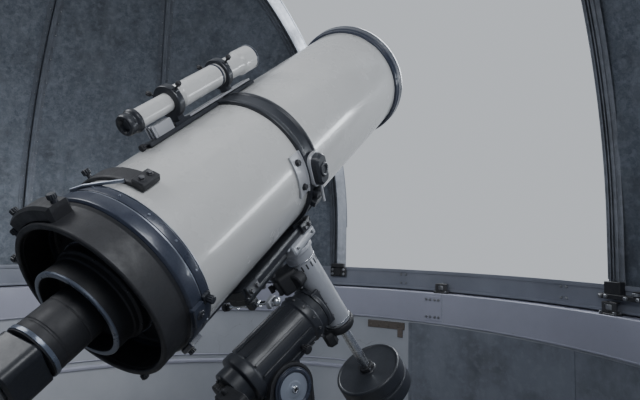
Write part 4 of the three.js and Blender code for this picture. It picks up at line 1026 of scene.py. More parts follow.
@dataclass
class TrackRing(SubAssembly):
    """The fixed channel ring on the wall, with rollers, side guides, splice plates and bolts."""

    inner: float = 2450.0
    outer: float = 2600.0
    bottom: float = 2062.0
    top: float = 2300.0
    flange: float = 12.0
    web: float = 10.0
    slot_inner: float = 2550.0
    roller_count: int = 12
    first_roller: float = 3.8
    roller_centre: float = 2572.0
    roller_radius: float = 60.0
    roller_gap: float = 64.0
    guide_centre: float = 2503.0
    splice_count: int = 6
    first_splice: float = 5.1

    def build(self) -> None:
        """Channel, rollers, guides and splices."""
        azimuths = self.first_roller + np.arange(self.roller_count) * 360 / self.roller_count
        self._channel(azimuths)
        self._rollers(azimuths)
        self._splices()

    def _channel(self, azimuths: np.ndarray) -> None:
        """The rolled channel; the outer strip of its top flange is open at each roller."""
        i, w, f, b, t = self.inner, self.web, self.flange, self.bottom, self.top
        section = [(i, b), (self.outer, b), (self.outer, b + f), (i + w, b + f), (i + w, t - f)]
        section += [(self.slot_inner, t - f), (self.slot_inner, t), (i, t)]
        radius = [6, 4, 4, 8, 8, 0.4, 0.4, 6]
        solids = [ring(rounded(section, radius, 4), 384)]
        step = 360 / self.roller_count
        gap = math.degrees(self.roller_gap / self.roller_centre)
        strip = rounded(rectangle((self.slot_inner, t - f), (self.outer, t)), [0.4, 3, 3, 0.4])
        solids += [ring(strip, 30, a + gap, a + step - gap) for a in azimuths]
        lip = rectangle((i - 2, b + 2), (i + 4, b + 12), 1.5)
        solids.append(ring(lip, 256))
        halves = ["track_ring_left", "track_ring_right"]
        self.piece("ring_channel", BAND_PAINT, *solids, replaces=halves)

    def _rollers(self, azimuths: np.ndarray) -> None:
        """Crowned rollers on axles, and the side guides that stand on the ring."""
        height = self.top + 9.4 - self.roller_radius
        wheels, blocks, pins, screws = [], [], [], []
        r = self.roller_radius
        tread = [
            (16, -20), (50, -18), (r - 2, -18), (r, -14), (r, 14), (r - 2, 18), (50, 18), (46, 12), (24, 12)
        ]
        tread += [(20, 24), (16, 24)]
        wheel = ring(rounded(tread, 1.5, 2), 48)
        carrier = block((-34, -30, -88), (34, 30, -24), 8, 3)
        nut = hex_bolt(26, 12)
        guide = ring(rounded([(8, -17), (26, -17), (30, -13), (30, 13), (26, 17), (8, 17)], 2, 2), 40)
        foot = block((-58, 0, -1), (58, 62, 9), 6, 2)
        cheek = block((-50, 16, 8), (50, 30, 74), 5, 2)
        upper = block((-40, 14, 66), (40, 62, 76), 6, 2)
        middle = block((-6, 12, 10), (6, 17, 72), 2, 1)
        head = hex_bolt(18, 9)
        for azimuth in azimuths:
            hub = WORLD.outward(azimuth, self.roller_centre, height)
            wheels.append(wheel.placed(hub))
            blocks.append(carrier.placed(hub))
            pins.append(rod(14, -104, 30, 2, 24).placed(hub))
            screws.append(nut.placed(hub.moved(z=26)))
            base = WORLD.turned(azimuth).moved(y=-self.guide_centre, z=self.top)
            blocks += [s.placed(base.turned(180).moved(y=-38)) for s in (foot, cheek, upper, middle)]
            wheels.append(guide.placed(base.moved(z=45)))
            pins.append(rod(8, 5, 82, 1.5, 20).placed(base))
            screws += [head.placed(base.moved(x=x, y=y, z=9)) for x in (-46, 46) for y in (33, -6)]
        self.piece("ring_rollers", BOLT_STEEL, *wheels, *pins)
        self.piece("roller_brackets", ROLLER_STEEL, *blocks)
        self.piece("roller_screws", BOLT_STEEL, *screws)

    def _splices(self) -> None:
        """A plate over each joint in the ring, with two rows of bolts and the bright joint line."""
        plates, bolts, lines = [], [], []
        plate = block((-76, 26, -3), (76, 214, 5), 5, 1.5)
        spots = [(x, y) for x in (-52, -20, 20, 52) for y in (52, 188)]
        for k in range(self.splice_count):
            azimuth = self.first_splice + k * 360 / self.splice_count
            inward = WORLD.outward(azimuth, self.inner, self.bottom).flipped()
            plates.append(plate.placed(inward))
            bolts += [hex_bolt(17, 8).placed(inward.moved(x=x, y=y, z=5)) for x, y in spots]
            lines.append(block((80, 4, -3), (84, 234, 1.5), 1, 0.4).placed(inward))
        self.piece("splice_plates", BAND_PAINT, *plates)
        self.piece("splice_bolts", BOLT_STEEL, *bolts)
        self.piece("ring_joint_lines", BRIGHT, *lines)


# Dome


@dataclass(frozen=True)
class Vault:
    """The dome's form: upright from the sill to the spring line, then part of a sphere, cut by the slit."""

    sill: float = 2466.3
    spring: float = 2831.0
    slit_side: float = 1171.3
    slit_back: float = 943.1

    def last_radius(self, azimuth: np.ndarray) -> np.ndarray:
        """Distance from the axis at which the slit cuts a meridian, for azimuths in degrees."""
        a = np.radians(azimuth)
        side = self.slit_side / np.maximum(np.abs(np.sin(a)), 1e-6)
        back = np.where(np.cos(a) < -1e-6, self.slit_back / np.maximum(-np.cos(a), 1e-6), np.inf)
        return np.minimum(side, back)

    def length(self, sphere: float, azimuth: np.ndarray) -> np.ndarray:
        """Length of a meridian from the sill to the slit."""
        cut = np.clip(self.last_radius(azimuth) / sphere, 0, 1)
        return self.spring - self.sill + sphere * np.arccos(cut)

    def arch(self, x: np.ndarray, radius: np.ndarray, theta: np.ndarray) -> np.ndarray:
        """Points about the spring line along X, at angles in radians from -Y over the top."""
        y, z = -radius * np.cos(theta), self.spring + radius * np.sin(theta)
        return np.stack(np.broadcast_arrays(x, y, z), -1)

    def points(self, sphere: float, azimuth: np.ndarray, distance: np.ndarray) -> tuple[np.ndarray, ...]:
        """Points on the dome's form.

        Args:
            sphere: Radius of the sphere and of the upright part.
            azimuth: Degrees, of any shape.
            distance: Lengths along the meridian from the sill, of a shape that fits.

        Returns:
            The points, the inward normals and the directions up along the meridian.
        """
        azimuth, distance = np.broadcast_arrays(np.asarray(azimuth, float), np.asarray(distance, float))
        a = np.radians(azimuth)
        upright = self.spring - self.sill
        rise = np.maximum(distance - upright, 0) / sphere
        radial = np.stack([np.sin(a), -np.cos(a), 0 * a], -1)
        up = np.array([0, 0, 1.0])
        height = self.sill + np.minimum(distance, upright)
        centre = radial * (sphere * np.cos(rise))[..., None]
        points = centre + up * (height + sphere * np.sin(rise))[..., None]
        inward = -radial * np.cos(rise)[..., None] - up * np.sin(rise)[..., None]
        along = -radial * np.sin(rise)[..., None] + up * np.cos(rise)[..., None]
        return points, inward, along

    def strip(self, section: np.ndarray, sphere: float, azimuth: float, extra: float = 0.0) -> Solid:
        """A section of (across, inwards) points drawn up a meridian.

        Args:
            section: Points of the section.
            sphere: Radius that depth 0 lies on.
            azimuth: Degrees.
            extra: Length added past the slit's edge, so that the end lies inside the girder.

        Returns:
            The closed mesh.
        """
        total = float(self.length(sphere, np.array(azimuth))) + extra
        points, inward, _ = self.points(sphere, azimuth, np.linspace(0, total, 44))
        a = math.radians(azimuth)
        across = np.array([math.cos(a), math.sin(a), 0])
        u, v = section.T
        return loft(points[:, None] + u[None, :, None] * across + v[None, :, None] * inward[:, None])

    def frames(
        self, sphere: float, azimuth: float, distance: np.ndarray, across: float = 0.0
    ) -> list[Axes]:
        """Frames on a meridian whose Z points into the dome and whose Y points up along it."""
        points, inward, along = self.points(sphere, azimuth, distance)
        lines = zip(points, np.cross(along, inward), along, inward)
        return [Axes(p + x * across, np.stack([x, y, z])) for p, x, y, z in lines]


VAULT = Vault()


@dataclass
class DomeSkin(SubAssembly):
    """The dome's base ring, sheet panels, folded ribs, seams and rivets."""

    body: Body = Body.DOME
    inner: float = 2566.0
    outer: float = 2602.0
    skirt: float = 2541.0
    low: float = 2310.0
    sill: float = 2466.0
    apron: float = 2624.0
    apron_low: float = 2160.0
    wave_depth: float = 1.6
    seams: tuple[float, ...] = (63.8, 110.3, 156.8)
    middles: tuple[float, ...] = (87.0, 133.5, 180.0)
    slit_start: float = 27.2
    kink: float = 128.8

    def build(self) -> None:
        """Base ring, panels and ribs."""
        self._base()
        # The panels carry the lining zinc's painted shade.
        edges = (self.slit_start, *self.seams)
        names = ("side", "flank", "quarter")
        for name, low, high in zip(names, edges, self.seams):
            for hand in Hand:
                label = f"{name}_{hand.name.lower()}"
                sheet = self._panel(low, high).on(hand)
                self.piece(f"panel_{label}", LINING_SHADED, sheet, replaces=[f"shell_{label}"])
        rear = self._panel(self.seams[-1], 360 - self.seams[-1])
        self.piece("panel_rear", LINING_SHADED, rear, replaces=["shell_rear"])
        self._ribs()

    def _base(self) -> None:
        """The channel that runs on the rollers, the sill plate over it and the apron outside."""
        skirt, low, sill, out, hang = self.skirt, self.low, self.sill, self.apron, self.apron_low
        tread = out - 24
        section = [
            (skirt, low), (tread, low), (tread, low + 12), (skirt + 8, low + 12), (skirt + 8, sill - 12)
        ]
        section += [(out - 6, sill - 12), (out - 6, hang), (out, hang), (out, sill), (skirt, sill)]
        radius = [3, 3, 2, 5, 5, 5, 1.5, 1.5, 4, 3]
        bead = rectangle((skirt - 7, sill - 22), (skirt + 2, sill + 7), 2)
        hem = rectangle((out - 10, hang - 2), (out + 5, hang + 12), 3)
        band = rectangle((skirt - 5, low + 2), (skirt + 2, low + 20), 2)
        self.piece(
            "dome_base_channel",
            SKIRT_PAINT,
            hoop(section, radius, 384),
            ring(bead, 384),
            ring(hem, 384),
            ring(band, 384),
            replaces=["dome_base_left", "dome_base_right"],
        )
        bolt = hex_bolt(16, 8)
        inward = [WORLD.outward(a, skirt, low + 78).flipped() for a in np.arange(12) * 30 + 12.0]
        hangers = [rivet(7).copies([WORLD.outward(a, out, sill - 26) for a in np.arange(0, 360, 5)])]
        places = [p.moved(x=x, y=y) for p in inward for x in (-20, 20) for y in (-30, 42)]
        self.piece("skirt_bolts", BOLT_STEEL, bolt.copies(places), *hangers)

    def _panel(self, low: float, high: float) -> Solid:
        """One sheet panel: both faces of the shell between two azimuths, with slightly uneven sheets.

        Args:
            low: First azimuth in degrees.
            high: Last azimuth in degrees.

        Returns:
            The closed mesh, up to the slit's edge.
        """
        seam = 0.01
        azimuth = np.linspace(low + seam, high - seam, max(8, int((high - low) / 1.5)))
        kinks = [k for k in (self.kink, 360 - self.kink) if low < k < high]
        azimuth = np.sort(np.concatenate([azimuth, kinks]))[:, None]
        share = np.linspace(0, 1, 60)[None, :]
        faces = []
        for sphere in (self.inner, self.outer):
            distance = share * VAULT.length(sphere, azimuth)
            points, inward, _ = VAULT.points(sphere, azimuth, distance)
            turn = np.radians(azimuth - low) * 180 / (high - low) * 2
            calm = np.sin(np.pi * share) * np.abs(np.sin(turn))
            wave = np.sin(distance / 170 + azimuth / 3) + 0.6 * np.sin(distance / 71 - azimuth / 1.7)
            faces.append(points + inward * (self.wave_depth * calm * wave)[..., None])
        return loft(np.concatenate([faces[0], faces[1][:, ::-1]], 1))

    def _ribs(self) -> None:
        """Folded ribs inside on each seam and panel middle, with rivets, and raised seams outside."""
        hat = [(-46, -0.6), (-46, 2.5), (-17, 2.5), (-15, 34), (-7, 36), (11, 36), (15, 34), (15, 24)]
        hat += [(11.5, 24), (11.5, 32), (-9, 32), (-11, 30), (-11.5, 3), (13, 3), (17, 7), (20, 7), (22, 3)]
        section = rounded(hat + [(52, 3), (52, -0.6)], 1.0, 2)
        half = [(-22, 0.5), (-22, -2), (-4, -3), (-3, -16)]
        standing = rounded(half + [(-x, y) for x, y in half[::-1]], 1.0, 2)
        rivets, outside = [], []
        for azimuth in (*self.seams, *self.middles):
            seam = azimuth in self.seams
            length = float(VAULT.length(self.inner, np.array(azimuth)))
            spots = np.arange(50, length - 30, 95)
            for hand in Hand if azimuth != 180 else (Hand.RIGHT,):
                label = f"{hand.name.lower()}_{self.seams.index(azimuth) + 1}" if seam else ""
                name = f"folded_rib_{label}" if seam else f"panel_rib_{hand.name.lower()}_{round(azimuth)}"
                replaces = [f"seam_rib_{label}"] if seam else []
                signed = azimuth * hand.value
                rib = VAULT.strip(section, self.inner, signed, 40)
                # The rib's lighter zinc is a painted highlight of its lit edge.
                self.piece(name, RIB_STEEL_LIT, rib, replaces=replaces)
                for side in (-32, 38):
                    rivets.append(rivet(5).copies(VAULT.frames(self.inner - 2.8, signed, spots, side)))
                outside.append(VAULT.strip(standing, self.outer, signed, 4))
                out = VAULT.frames(self.outer, signed, spots)
                rivets += [rivet(5).copies([f.flipped().moved(x=x, z=2) for f in out]) for x in (-14, 14)]
        self.piece("lining_rivets", BOLT_STEEL, *rivets)
        self.piece("outer_seams", RIB_STEEL_LIT, *outside)


@dataclass
class SlitFrame(SubAssembly):
    """The grooved arch girders at the slit's sides, their feet, and the beam at the slit's end."""

    body: Body = Body.DOME
    low: float = 2466.3
    near: float = 1091.0
    far: float = 1171.0
    under: float = 2263.0
    over: float = 2385.4
    beam_front: float = 862.8
    beam_back: float = 942.8
    foot_inner: float = 2486.0
    skirt: float = 2541.0

    def build(self) -> None:
        """Girders, feet and beam."""
        for hand in Hand:
            name, solids = hand.name.lower(), self._girder(hand)
            replaces = [f"slit_girder_{name}"]
            self.piece(f"arch_girder_{name}", GIRDER_STEEL, *solids, replaces=replaces)
        self._feet()
        self._beam()

    def _arch(self, section: Sequence, back: float, low: float) -> Solid:
        """A closed section of (x, radius) points drawn up from the sill and over the slit's side.

        Args:
            section: Points of the section.
            back: The y at which every line of the arch ends.
            low: Height at which it starts.

        Returns:
            The closed mesh.
        """
        x, r = np.asarray(section, float).T
        upright = np.linspace(low, VAULT.spring, 5)[:-1, None]
        foot = np.stack(np.broadcast_arrays(x, -r, upright), -1)
        theta = np.linspace(0, 1, 110)[:, None] * np.arccos(-back / r)
        return loft(np.concatenate([foot, VAULT.arch(x, r, theta)]))

    def _girder(self, hand: Hand) -> list[Solid]:
        """One girder: a section with two grooves on its inner face and a lip at its foot flange."""
        u, o, a, b = self.under, self.over, self.near, self.far
        section = [
            (a, o), (a, u), (1104, u), (1104, u + 30), (1129, u + 30), (1129, u), (1147, u), (1147, u + 9)
        ]
        section += [(1153, u + 9), (1153, u), (b, u), (b, o)]
        lip = rectangle((1160, u - 5), (b + 6, u + 2), 1.2, 2)
        edge = rectangle((a - 4, u - 3), (a + 3, u + 60), 1.2, 2)
        bar = rectangle((1110, u + 12), (1118, u + 40), 1.2, 2)
        solids = [self._arch(rounded(section, 2, 2), self.beam_back, self.low)]
        solids += [self._arch(part, self.beam_front - 6, self.low + 40) for part in (lip, edge, bar)]
        return [solid.on(hand) for solid in solids]

    def _feet(self) -> None:
        """The blocks that hold each girder on the skirt, with their bolts and small side rollers."""
        right, left = WORLD.turned(25.5), WORLD.turned(-26.6)
        inner, skirt = self.foot_inner, self.skirt
        blocks = [
            block((-70, -skirt - 0.5, 2388), (70, -inner - 20, 2470), 8, 3).placed(right),
            block((-58, -skirt - 0.5, 2468), (58, -inner, 2502), 8, 3).placed(right),
            block((-22, -inner - 22, 2396), (22, -inner - 6, 2466), 5, 2).placed(right),
            block((-190, -skirt - 0.5, 2392), (96, -inner, 2420), 6, 3).placed(left),
            block((-50, -skirt - 0.5, 2418), (60, -inner - 8, 2494), 8, 3).placed(left),
            block((-176, -skirt - 0.5, 2418), (-120, -inner - 18, 2448), 6, 2).placed(left),
        ]
        bolt = hex_bolt(20, 10)
        face = np.array([[-1, 0, 0], [0, 0, 1], [0, 1, 0]], float)
        spots = [(right, x, z, inner + 20) for x in (-50, 50) for z in (2410, 2448)]
        spots += [(left, x, 2406, inner) for x in (-170, -90, 40, 78)]
        bright = []
        for frame, x, z, depth in spots:
            there = frame.moved(x=x, y=-depth, z=z)
            bright.append(bolt.placed(Axes(there.origin, face @ there.rows)).outward())
        wheel = rod(22, -9, 9, 2, 28)
        bright.append(wheel.placed(left.moved(x=-148, y=-inner - 14, z=2432)))
        self.piece("girder_feet", BLACK_MATT, *blocks)
        self.piece("girder_foot_bolts", BOLT_STEEL, *bright)

    def _beam(self) -> None:
        """The curved beam between the girders: a channel section carried across X about the spring line."""
        f, b = self.beam_front + 0.2, self.beam_back - 0.2
        section = [(f, 2363.5), (b, 2363.5), (b, 2372), (f + 8, 2372), (f + 8, 2456), (b, 2456)]
        section += [(b, 2472), (f, 2472)]
        y, r = rounded(section, 2, 2).T
        reach = np.arcsin((self.near - 0.4) / r)
        beta = np.linspace(-1, 1, 61)[:, None] * reach
        rings = np.stack(np.broadcast_arrays(r * np.sin(beta), y, VAULT.spring + r * np.cos(beta)), -1)
        self.piece("slit_beam_channel", GIRDER_STEEL, loft(rings), replaces=["slit_head_beam"])


@dataclass
class Shutters(SubAssembly):
    """The two parked leaves behind the slit, with their edge bars, bands and rails."""

    body: Body = Body.DOME
    parked: tuple[float, float] = (112.0, 175.0)
    rail_end: float = 175.0
    over_girder: float = 2385.7
    on_shell: float = 2354.0
    girder_end: float = 119.0

    def build(self) -> None:
        """Rails and leaves."""
        for hand in Hand:
            name = hand.name.lower()
            rails = [self._rail(*sizes).on(hand) for sizes in ((1116, 1146, 2405), (1146.2, 1176, 2460))]
            replaces = [f"shutter_rail_{name}"]
            self.piece(f"rail_pair_{name}", RIB_STEEL_LIT, *rails, replaces=replaces)
        self._leaf("upper", 2668, 1114, 1142, 2405.3, 2437)
        self._leaf("lower", 2738, 1146, 1176, 2460.3, 2498.5)

    def _bend(self, section: np.ndarray, start: float, end: float, steps: int) -> Solid:
        """A closed section of (x, radius) points carried about the spring line along X."""
        return loft(VAULT.arch(*section.T, np.radians(np.linspace(start, end, steps))[:, None]))

    def _rail(self, near: float, far: float, top: float) -> Solid:
        """A rail with a head and a narrower web; its foot drops from the girder onto the shell."""
        edge = self.girder_end
        theta = np.concatenate([np.linspace(0, edge, 100), np.linspace(edge + 0.4, self.rail_end, 60)])
        foot = np.where(theta <= edge, self.over_girder, self.on_shell)[:, None]
        x = np.array(
            [near, far, far, far - 7, far - 7, far, far - 2, near + 2, near, near + 7, near + 7, near]
        )
        lift = np.array([0, 0, 6, 9, -12, -9, 0, 0, -9, -12, 9, 6], float)
        from_top = np.array([0, 0, 0, 0, 1, 1, 1, 1, 1, 1, 0, 0], bool)
        r = np.where(from_top, top + lift, np.minimum(foot + lift, top - 13))
        return loft(VAULT.arch(x, r, np.radians(theta)[:, None]))

    def _leaf(self, name: str, radius: float, near: float, half: float, low: float, high: float) -> None:
        """One leaf: a piece of a sphere, bands across it, and an edge bar along each side.

        Args:
            name: Which leaf.
            radius: Inner radius of the sphere.
            near: Inner x of the edge bars.
            half: Half the leaf's width.
            low: Lower radius of the edge bars.
            high: Their upper radius.
        """
        start, end = self.parked
        thick = 18
        solids = []
        bands = [(thick + 5, half - 4, a, a + 1.2) for a in np.linspace(start + 0.2, end - 1.4, 6)]
        for depth, width, first, last in ((thick, half, start, end), *bands):
            x = np.linspace(-width, width, 33)
            inner = np.sqrt(radius**2 - x**2) + (0 if depth == thick else 4)
            outer = np.sqrt((radius + depth) ** 2 - x**2)
            section = np.concatenate([np.stack([x, inner], 1), np.stack([x, outer], 1)[::-1]])
            solids.append(self._bend(section, first, last, 64 if depth == thick else 3))
        bar = rectangle((near, low), (half, high + 6), 2, 2)
        for hand in Hand:
            solids.append(self._bend(bar, start, end, 64).on(hand))
        # The leaves carry the lining zinc's painted shade.
        self.piece(f"{name}_leaf", LINING_SHADED, *solids, replaces=[f"{name}_shutter"])


# Mount


@dataclass(frozen=True)
class Stance:
    """How the mount and the tube stand: the crossing of the two axes and the angles about it."""

    cross: Triple = (-595.2, -323.7, 2490.3)
    elevation: float = 37.26
    turn: float = -8.66
    tube_turn: float = 16.62
    offset: float = 580.0
    tube_pivot: float = 629.0
    pivot_below: float = 108.0
    pivot_along: float = 339.0

    @property
    def mount(self) -> Axes:
        """Z along the polar axis, Y towards the tube."""
        return Axes(np.array(self.cross), np.eye(3)).turned(self.turn).tipped(90 - self.elevation)

    @property
    def pivot(self) -> Axes:
        """Upright frame at the altitude pivot, with X along its pin."""
        origin = self.mount.moved(y=-self.pivot_below, z=-self.pivot_along).origin
        return Axes(origin, np.eye(3)).turned(self.turn)

    @property
    def tube(self) -> Axes:
        """Z along the tube, counted from the back of the rear ring, and -Y towards the mount."""
        return self.mount.moved(y=self.offset).swung(self.tube_turn).moved(z=-self.tube_pivot)

    @property
    def held_axis(self) -> Axes:
        """Z along the declination axis from the tube down to the weight, on the polar head."""
        return self.mount.moved(y=self.offset).outward(0, 0)

    @property
    def tube_axis(self) -> Axes:
        """The same axis on the turning tube."""
        return self.tube.outward(0, 0, self.tube_pivot)


STANCE = Stance()


@dataclass
class PierUnit(SubAssembly):
    """The column, the fork on it and the altitude pivot with its two large caps."""

    radius: float = 140.0
    floor: float = 120.0
    top: float = 1970.0
    flange: float = 172.0
    cheek_inner: float = 72.0
    cheek_outer: float = 98.0
    cap: float = 74.0
    cheek_half: float = 118.0
    crown_radius: float = 88.0

    def build(self) -> None:
        """Column, fork and pivot."""
        pivot = STANCE.pivot
        foot = Axes(pivot.origin * [1, 1, 0], pivot.rows)
        self._column(foot)
        self._fork(foot, pivot)
        self._pivot(pivot)

    def _column(self, foot: Axes) -> None:
        """The round column with a bolted floor flange and a bolted head flange."""
        r, f, t, edge = self.radius, self.floor, self.top, self.flange
        profile = [
            (r - 8, 0), (r, 6), (r, f + 6), (edge, f + 6), (edge, f + 27), (r + 8, f + 28), (r + 1, f + 48)
        ]
        profile += [
            (r, f + 70), (r, t - 90), (r + 4, t - 60), (r + 6, t - 26), (r + 26, t - 24), (r + 26, t)
        ]
        profile.append((r - 20, t))
        column = turning(profile, 5, 96)
        seam = ring(rectangle((r - 2, 1040), (r + 5, 1052), 2), 96)
        solids = [part.placed(foot) for part in (column, seam)]
        self.piece("pier_column", BLACK_MATT, *solids, replaces=["pier"])
        low = [foot.turned(a).moved(y=13 - edge, z=f + 27) for a in range(0, 360, 30)]
        high = [foot.turned(a).moved(y=-r - 13, z=t - 24).flipped() for a in range(15, 360, 45)]
        bolts = [hex_bolt(14, 9).copies(low), hex_bolt(12, 7).copies(high)]
        self.piece("pier_bolts", BOLT_STEEL, *bolts)

    def _fork(self, foot: Axes, pivot: Axes) -> None:
        """A round base plate and two cheeks with raised borders, joined by a cross wall."""
        t, h, c = self.top, float(pivot.origin[2]), self.crown_radius
        plate = turning([(150, t + 0.3), (160, t + 4), (160, t + 30), (140, t + 34)], 3, 96)
        angle = np.radians(np.linspace(0, 180, 25))
        crown = np.stack([c * np.cos(angle), h + c * np.sin(angle)], 1)
        outline = np.concatenate([[(-self.cheek_half, t + 31), (self.cheek_half, t + 31)], crown])
        border = inset(outline, 12)
        solids = [plate.placed(foot)]
        for hand in Hand:
            cheek = prism(outline, self.cheek_inner, self.cheek_outer - 3, 2.5, Along.X)
            rings = np.stack([outline, outline, inset(outline, 2), inset(outline, 10), border, border], 1)
            depth = np.array([-6, -1, 0, 0, -2, -6]) + self.cheek_outer
            level = np.broadcast_to(depth[None, :, None], (*rings.shape[:2], 1))
            raised = np.concatenate([level, rings], -1)
            solids += [s.on(hand).placed(foot) for s in (cheek, loft(raised, around=True))]
        solids.append(block((-74, 60, t + 30), (74, 84, h - 100), 4, 2).placed(foot))
        self.piece("fork_casting", BLACK_MATT, *solids, replaces=["pier_head"])
        bolts = [foot.turned(a).moved(y=-143, z=t + 34) for a in (-20, 0, 20, 160, 180, 200)]
        z = self.cheek_outer - 3
        sides = [foot.sideways(hand).moved(x=x, y=t + 74, z=z) for hand in Hand for x in (-70, 70)]
        solids = [hex_bolt(17, 10).copies(bolts), hex_bolt(19, 9).copies(sides)]
        self.piece("fork_bolts", BOLT_STEEL, *solids)

    def _pivot(self, pivot: Axes) -> None:
        """Both caps: a dark rim in two steps, a pale face and a bright hub with a dark middle."""
        out = self.cheek_outer + 0.3
        steps = [(self.cap, 0), (self.cap, 8), (68, 9), (67, 14), (59, 14), (57, 9), (55, 9)]
        rim = hoop([(55, out), *((r, out + z) for r, z in steps)], 1.5, 96)
        dish = [(56, 1), (56, 8), (50, 9), (30, 10), (24, 12), (16, 12)]
        face = turning([(r, out + z) for r, z in dish], 2, 96)
        collar = [(6, 11), (13, 11), (13, 18), (11, 20), (6.5, 20)]
        hub = hoop([(r, out + z) for r, z in collar], 1.2, 40)
        plug = spindle([(5, out + 10), (6, out + 12), (6, out + 17), (4, out + 18)], 6)
        both = [pivot.sideways(hand) for hand in Hand]
        pin = rod(30, -out, out).placed(both[0])
        rims = rim.copies(both)
        self.piece("pivot_rims", BLUE_BLACK, rims, replaces=["altitude_pivot"])
        self.piece("pivot_faces", SILVER, face.copies(both), pin)
        self.piece("pivot_hubs", BRIGHT, hub.copies(both))
        self.piece("pivot_plugs", BLACK_MATT, plug.copies(both))


@dataclass
class PolarUnit(SubAssembly):
    """The polar housing with its lug, the motor box at its low end and the turning head."""

    radius: float = 95.0
    cap: float = 75.0
    top: float = -76.0
    neck: float = -110.0
    shoulder: float = -440.0
    end: float = -490.0
    lug_half: float = 70.0
    lug_radius: float = 72.0
    drum_top: float = -56.0

    def build(self) -> None:
        """Housing, box and head."""
        self._housing(STANCE.mount)
        self._box(STANCE.mount)
        self._head(STANCE.mount)

    def _housing(self, mount: Axes) -> None:
        """A ribbed barrel, a rounded lug under it, and small clamp knobs on its sides."""
        r, c, e, n, s = self.radius, self.cap, self.end, self.neck, self.shoulder
        profile = [(c - 25, e), (c, e), (c, s - 4), (r, s), (r, s + 34), (r - 6, s + 40)]
        profile += [(r - 6, n - 40), (r, n - 34), (r, n - 2), (r - 10, n + 2), (r - 10, self.top)]
        profile.append((r - 40, self.top))
        barrel = turning(profile, 4, 96)
        y, z = -STANCE.pivot_below, -STANCE.pivot_along
        sweep = np.radians(np.linspace(270, 90, 31))
        nose = np.stack([y + self.lug_radius * np.cos(sweep), z + self.lug_radius * np.sin(sweep)], 1)
        outline = np.concatenate([[(-50, z - 100), (-86, z - 84)], nose, [(-86, z + 84), (-50, z + 100)]])
        lug = prism(outline, -self.lug_half, self.lug_half, 5, Along.X)
        solids = [s.placed(mount) for s in (barrel, lug)]
        fins = prism(rectangle((-5, s + 44), (5, n - 46), 3), -3, 6, 1.5)
        solids.append(fins.copies([mount.outward(a, r - 6) for a in range(0, 360, 30)]))
        self.piece("polar_casting", BLACK, *solids, replaces=["polar_housing"])
        knob = merged(knurled(17, 12, 32, 14, 1.6), rod(8, -4, 13, 1, 20))
        spots = [mount.outward(a, r - 2, z) for a, z in ((-72, -222), (58, -222))]
        tail = merged(knurled(36, 8, 30, 24, 2), rod(22, -6, 9, 1.5))
        tail = tail.placed(mount.moved(x=28, y=8, z=e).flipped())
        self.piece("polar_knobs", BLACK_MATT, knob.copies(spots), tail)
        screws = [mount.flipped().turned(a).moved(y=-c + 11, z=-e) for a in range(0, 360, 60)]
        rim = [mount.outward(a, r, n - 18) for a in range(15, 360, 30)]
        screw = merged(cap_screw(6, 6).copies(screws), cap_screw(5, 5).copies(rim))
        self.piece("polar_screws", DULL_BOLT, screw)

    def _box(self, mount: Axes) -> None:
        """The motor box with a lid, screws, a cable gland and a bright-centred knob."""
        low, high, half = self.end - 55, self.end - 0.3, 45.0
        near, far = -150.0, -15.0
        box = prism(rectangle((near, -half), (far, half), 16, 5), low, high, 3)
        lid = prism(rectangle((near + 6, -half + 6), (far - 6, half - 6), 12, 5), low - 5, low + 1, 2)
        gland = rod(9, 0, 22, 2).placed(WORLD.moved(x=-60, y=half - 4, z=low + 26).tipped(90).flipped())
        solids = [s.placed(mount) for s in (box, lid, gland)]
        self.piece("motor_box", BLACK_MATT, *solids, replaces=["drive_box"])
        out = mount.outward(0, half, self.end - 27).moved(x=-110)
        knob = merged(knurled(25, 10, 24, 20, 2), rod(12, -2, 11, 1))
        corners = [
            mount.moved(x=x, y=y, z=low - 5).flipped()
            for x in (near + 16, far - 16)
            for y in (-half + 16, half - 16)
        ]
        self.piece("motor_knob", BLACK, knob.placed(out))
        fittings = merged(rod(8, 23, 27, 1).placed(out), cap_screw(5, 4).copies(corners))
        self.piece("motor_fittings", DULL_BOLT, fittings)

    def _head(self, mount: Axes) -> None:
        """The turning head: a drum with a bed for the declination housing, and its clamp screws."""
        r, low, high = self.radius - 9, self.top + 0.6, self.drum_top
        profile = [(r - 40, low), (r, low), (r, high - 4), (r - 4, high), (r - 56, high)]
        drum = turning(profile, 3, 96)
        cheek = block((40, -74, low), (56, 74, -36), 6, 3)
        cheeks = [cheek.on(hand).placed(mount) for hand in Hand]
        solids, head = [drum.placed(mount), *cheeks], Body.MOUNT_HEAD
        self.piece("polar_head_drum", BLACK, *solids, replaces=["polar_head"], body=head)
        screws = [mount.moved(x=x, y=y, z=-36) for x in (-48, 48) for y in (-56, 0, 56)]
        self.piece("head_screws", DULL_BOLT, cap_screw(4.5, 5).copies(screws), body=head)


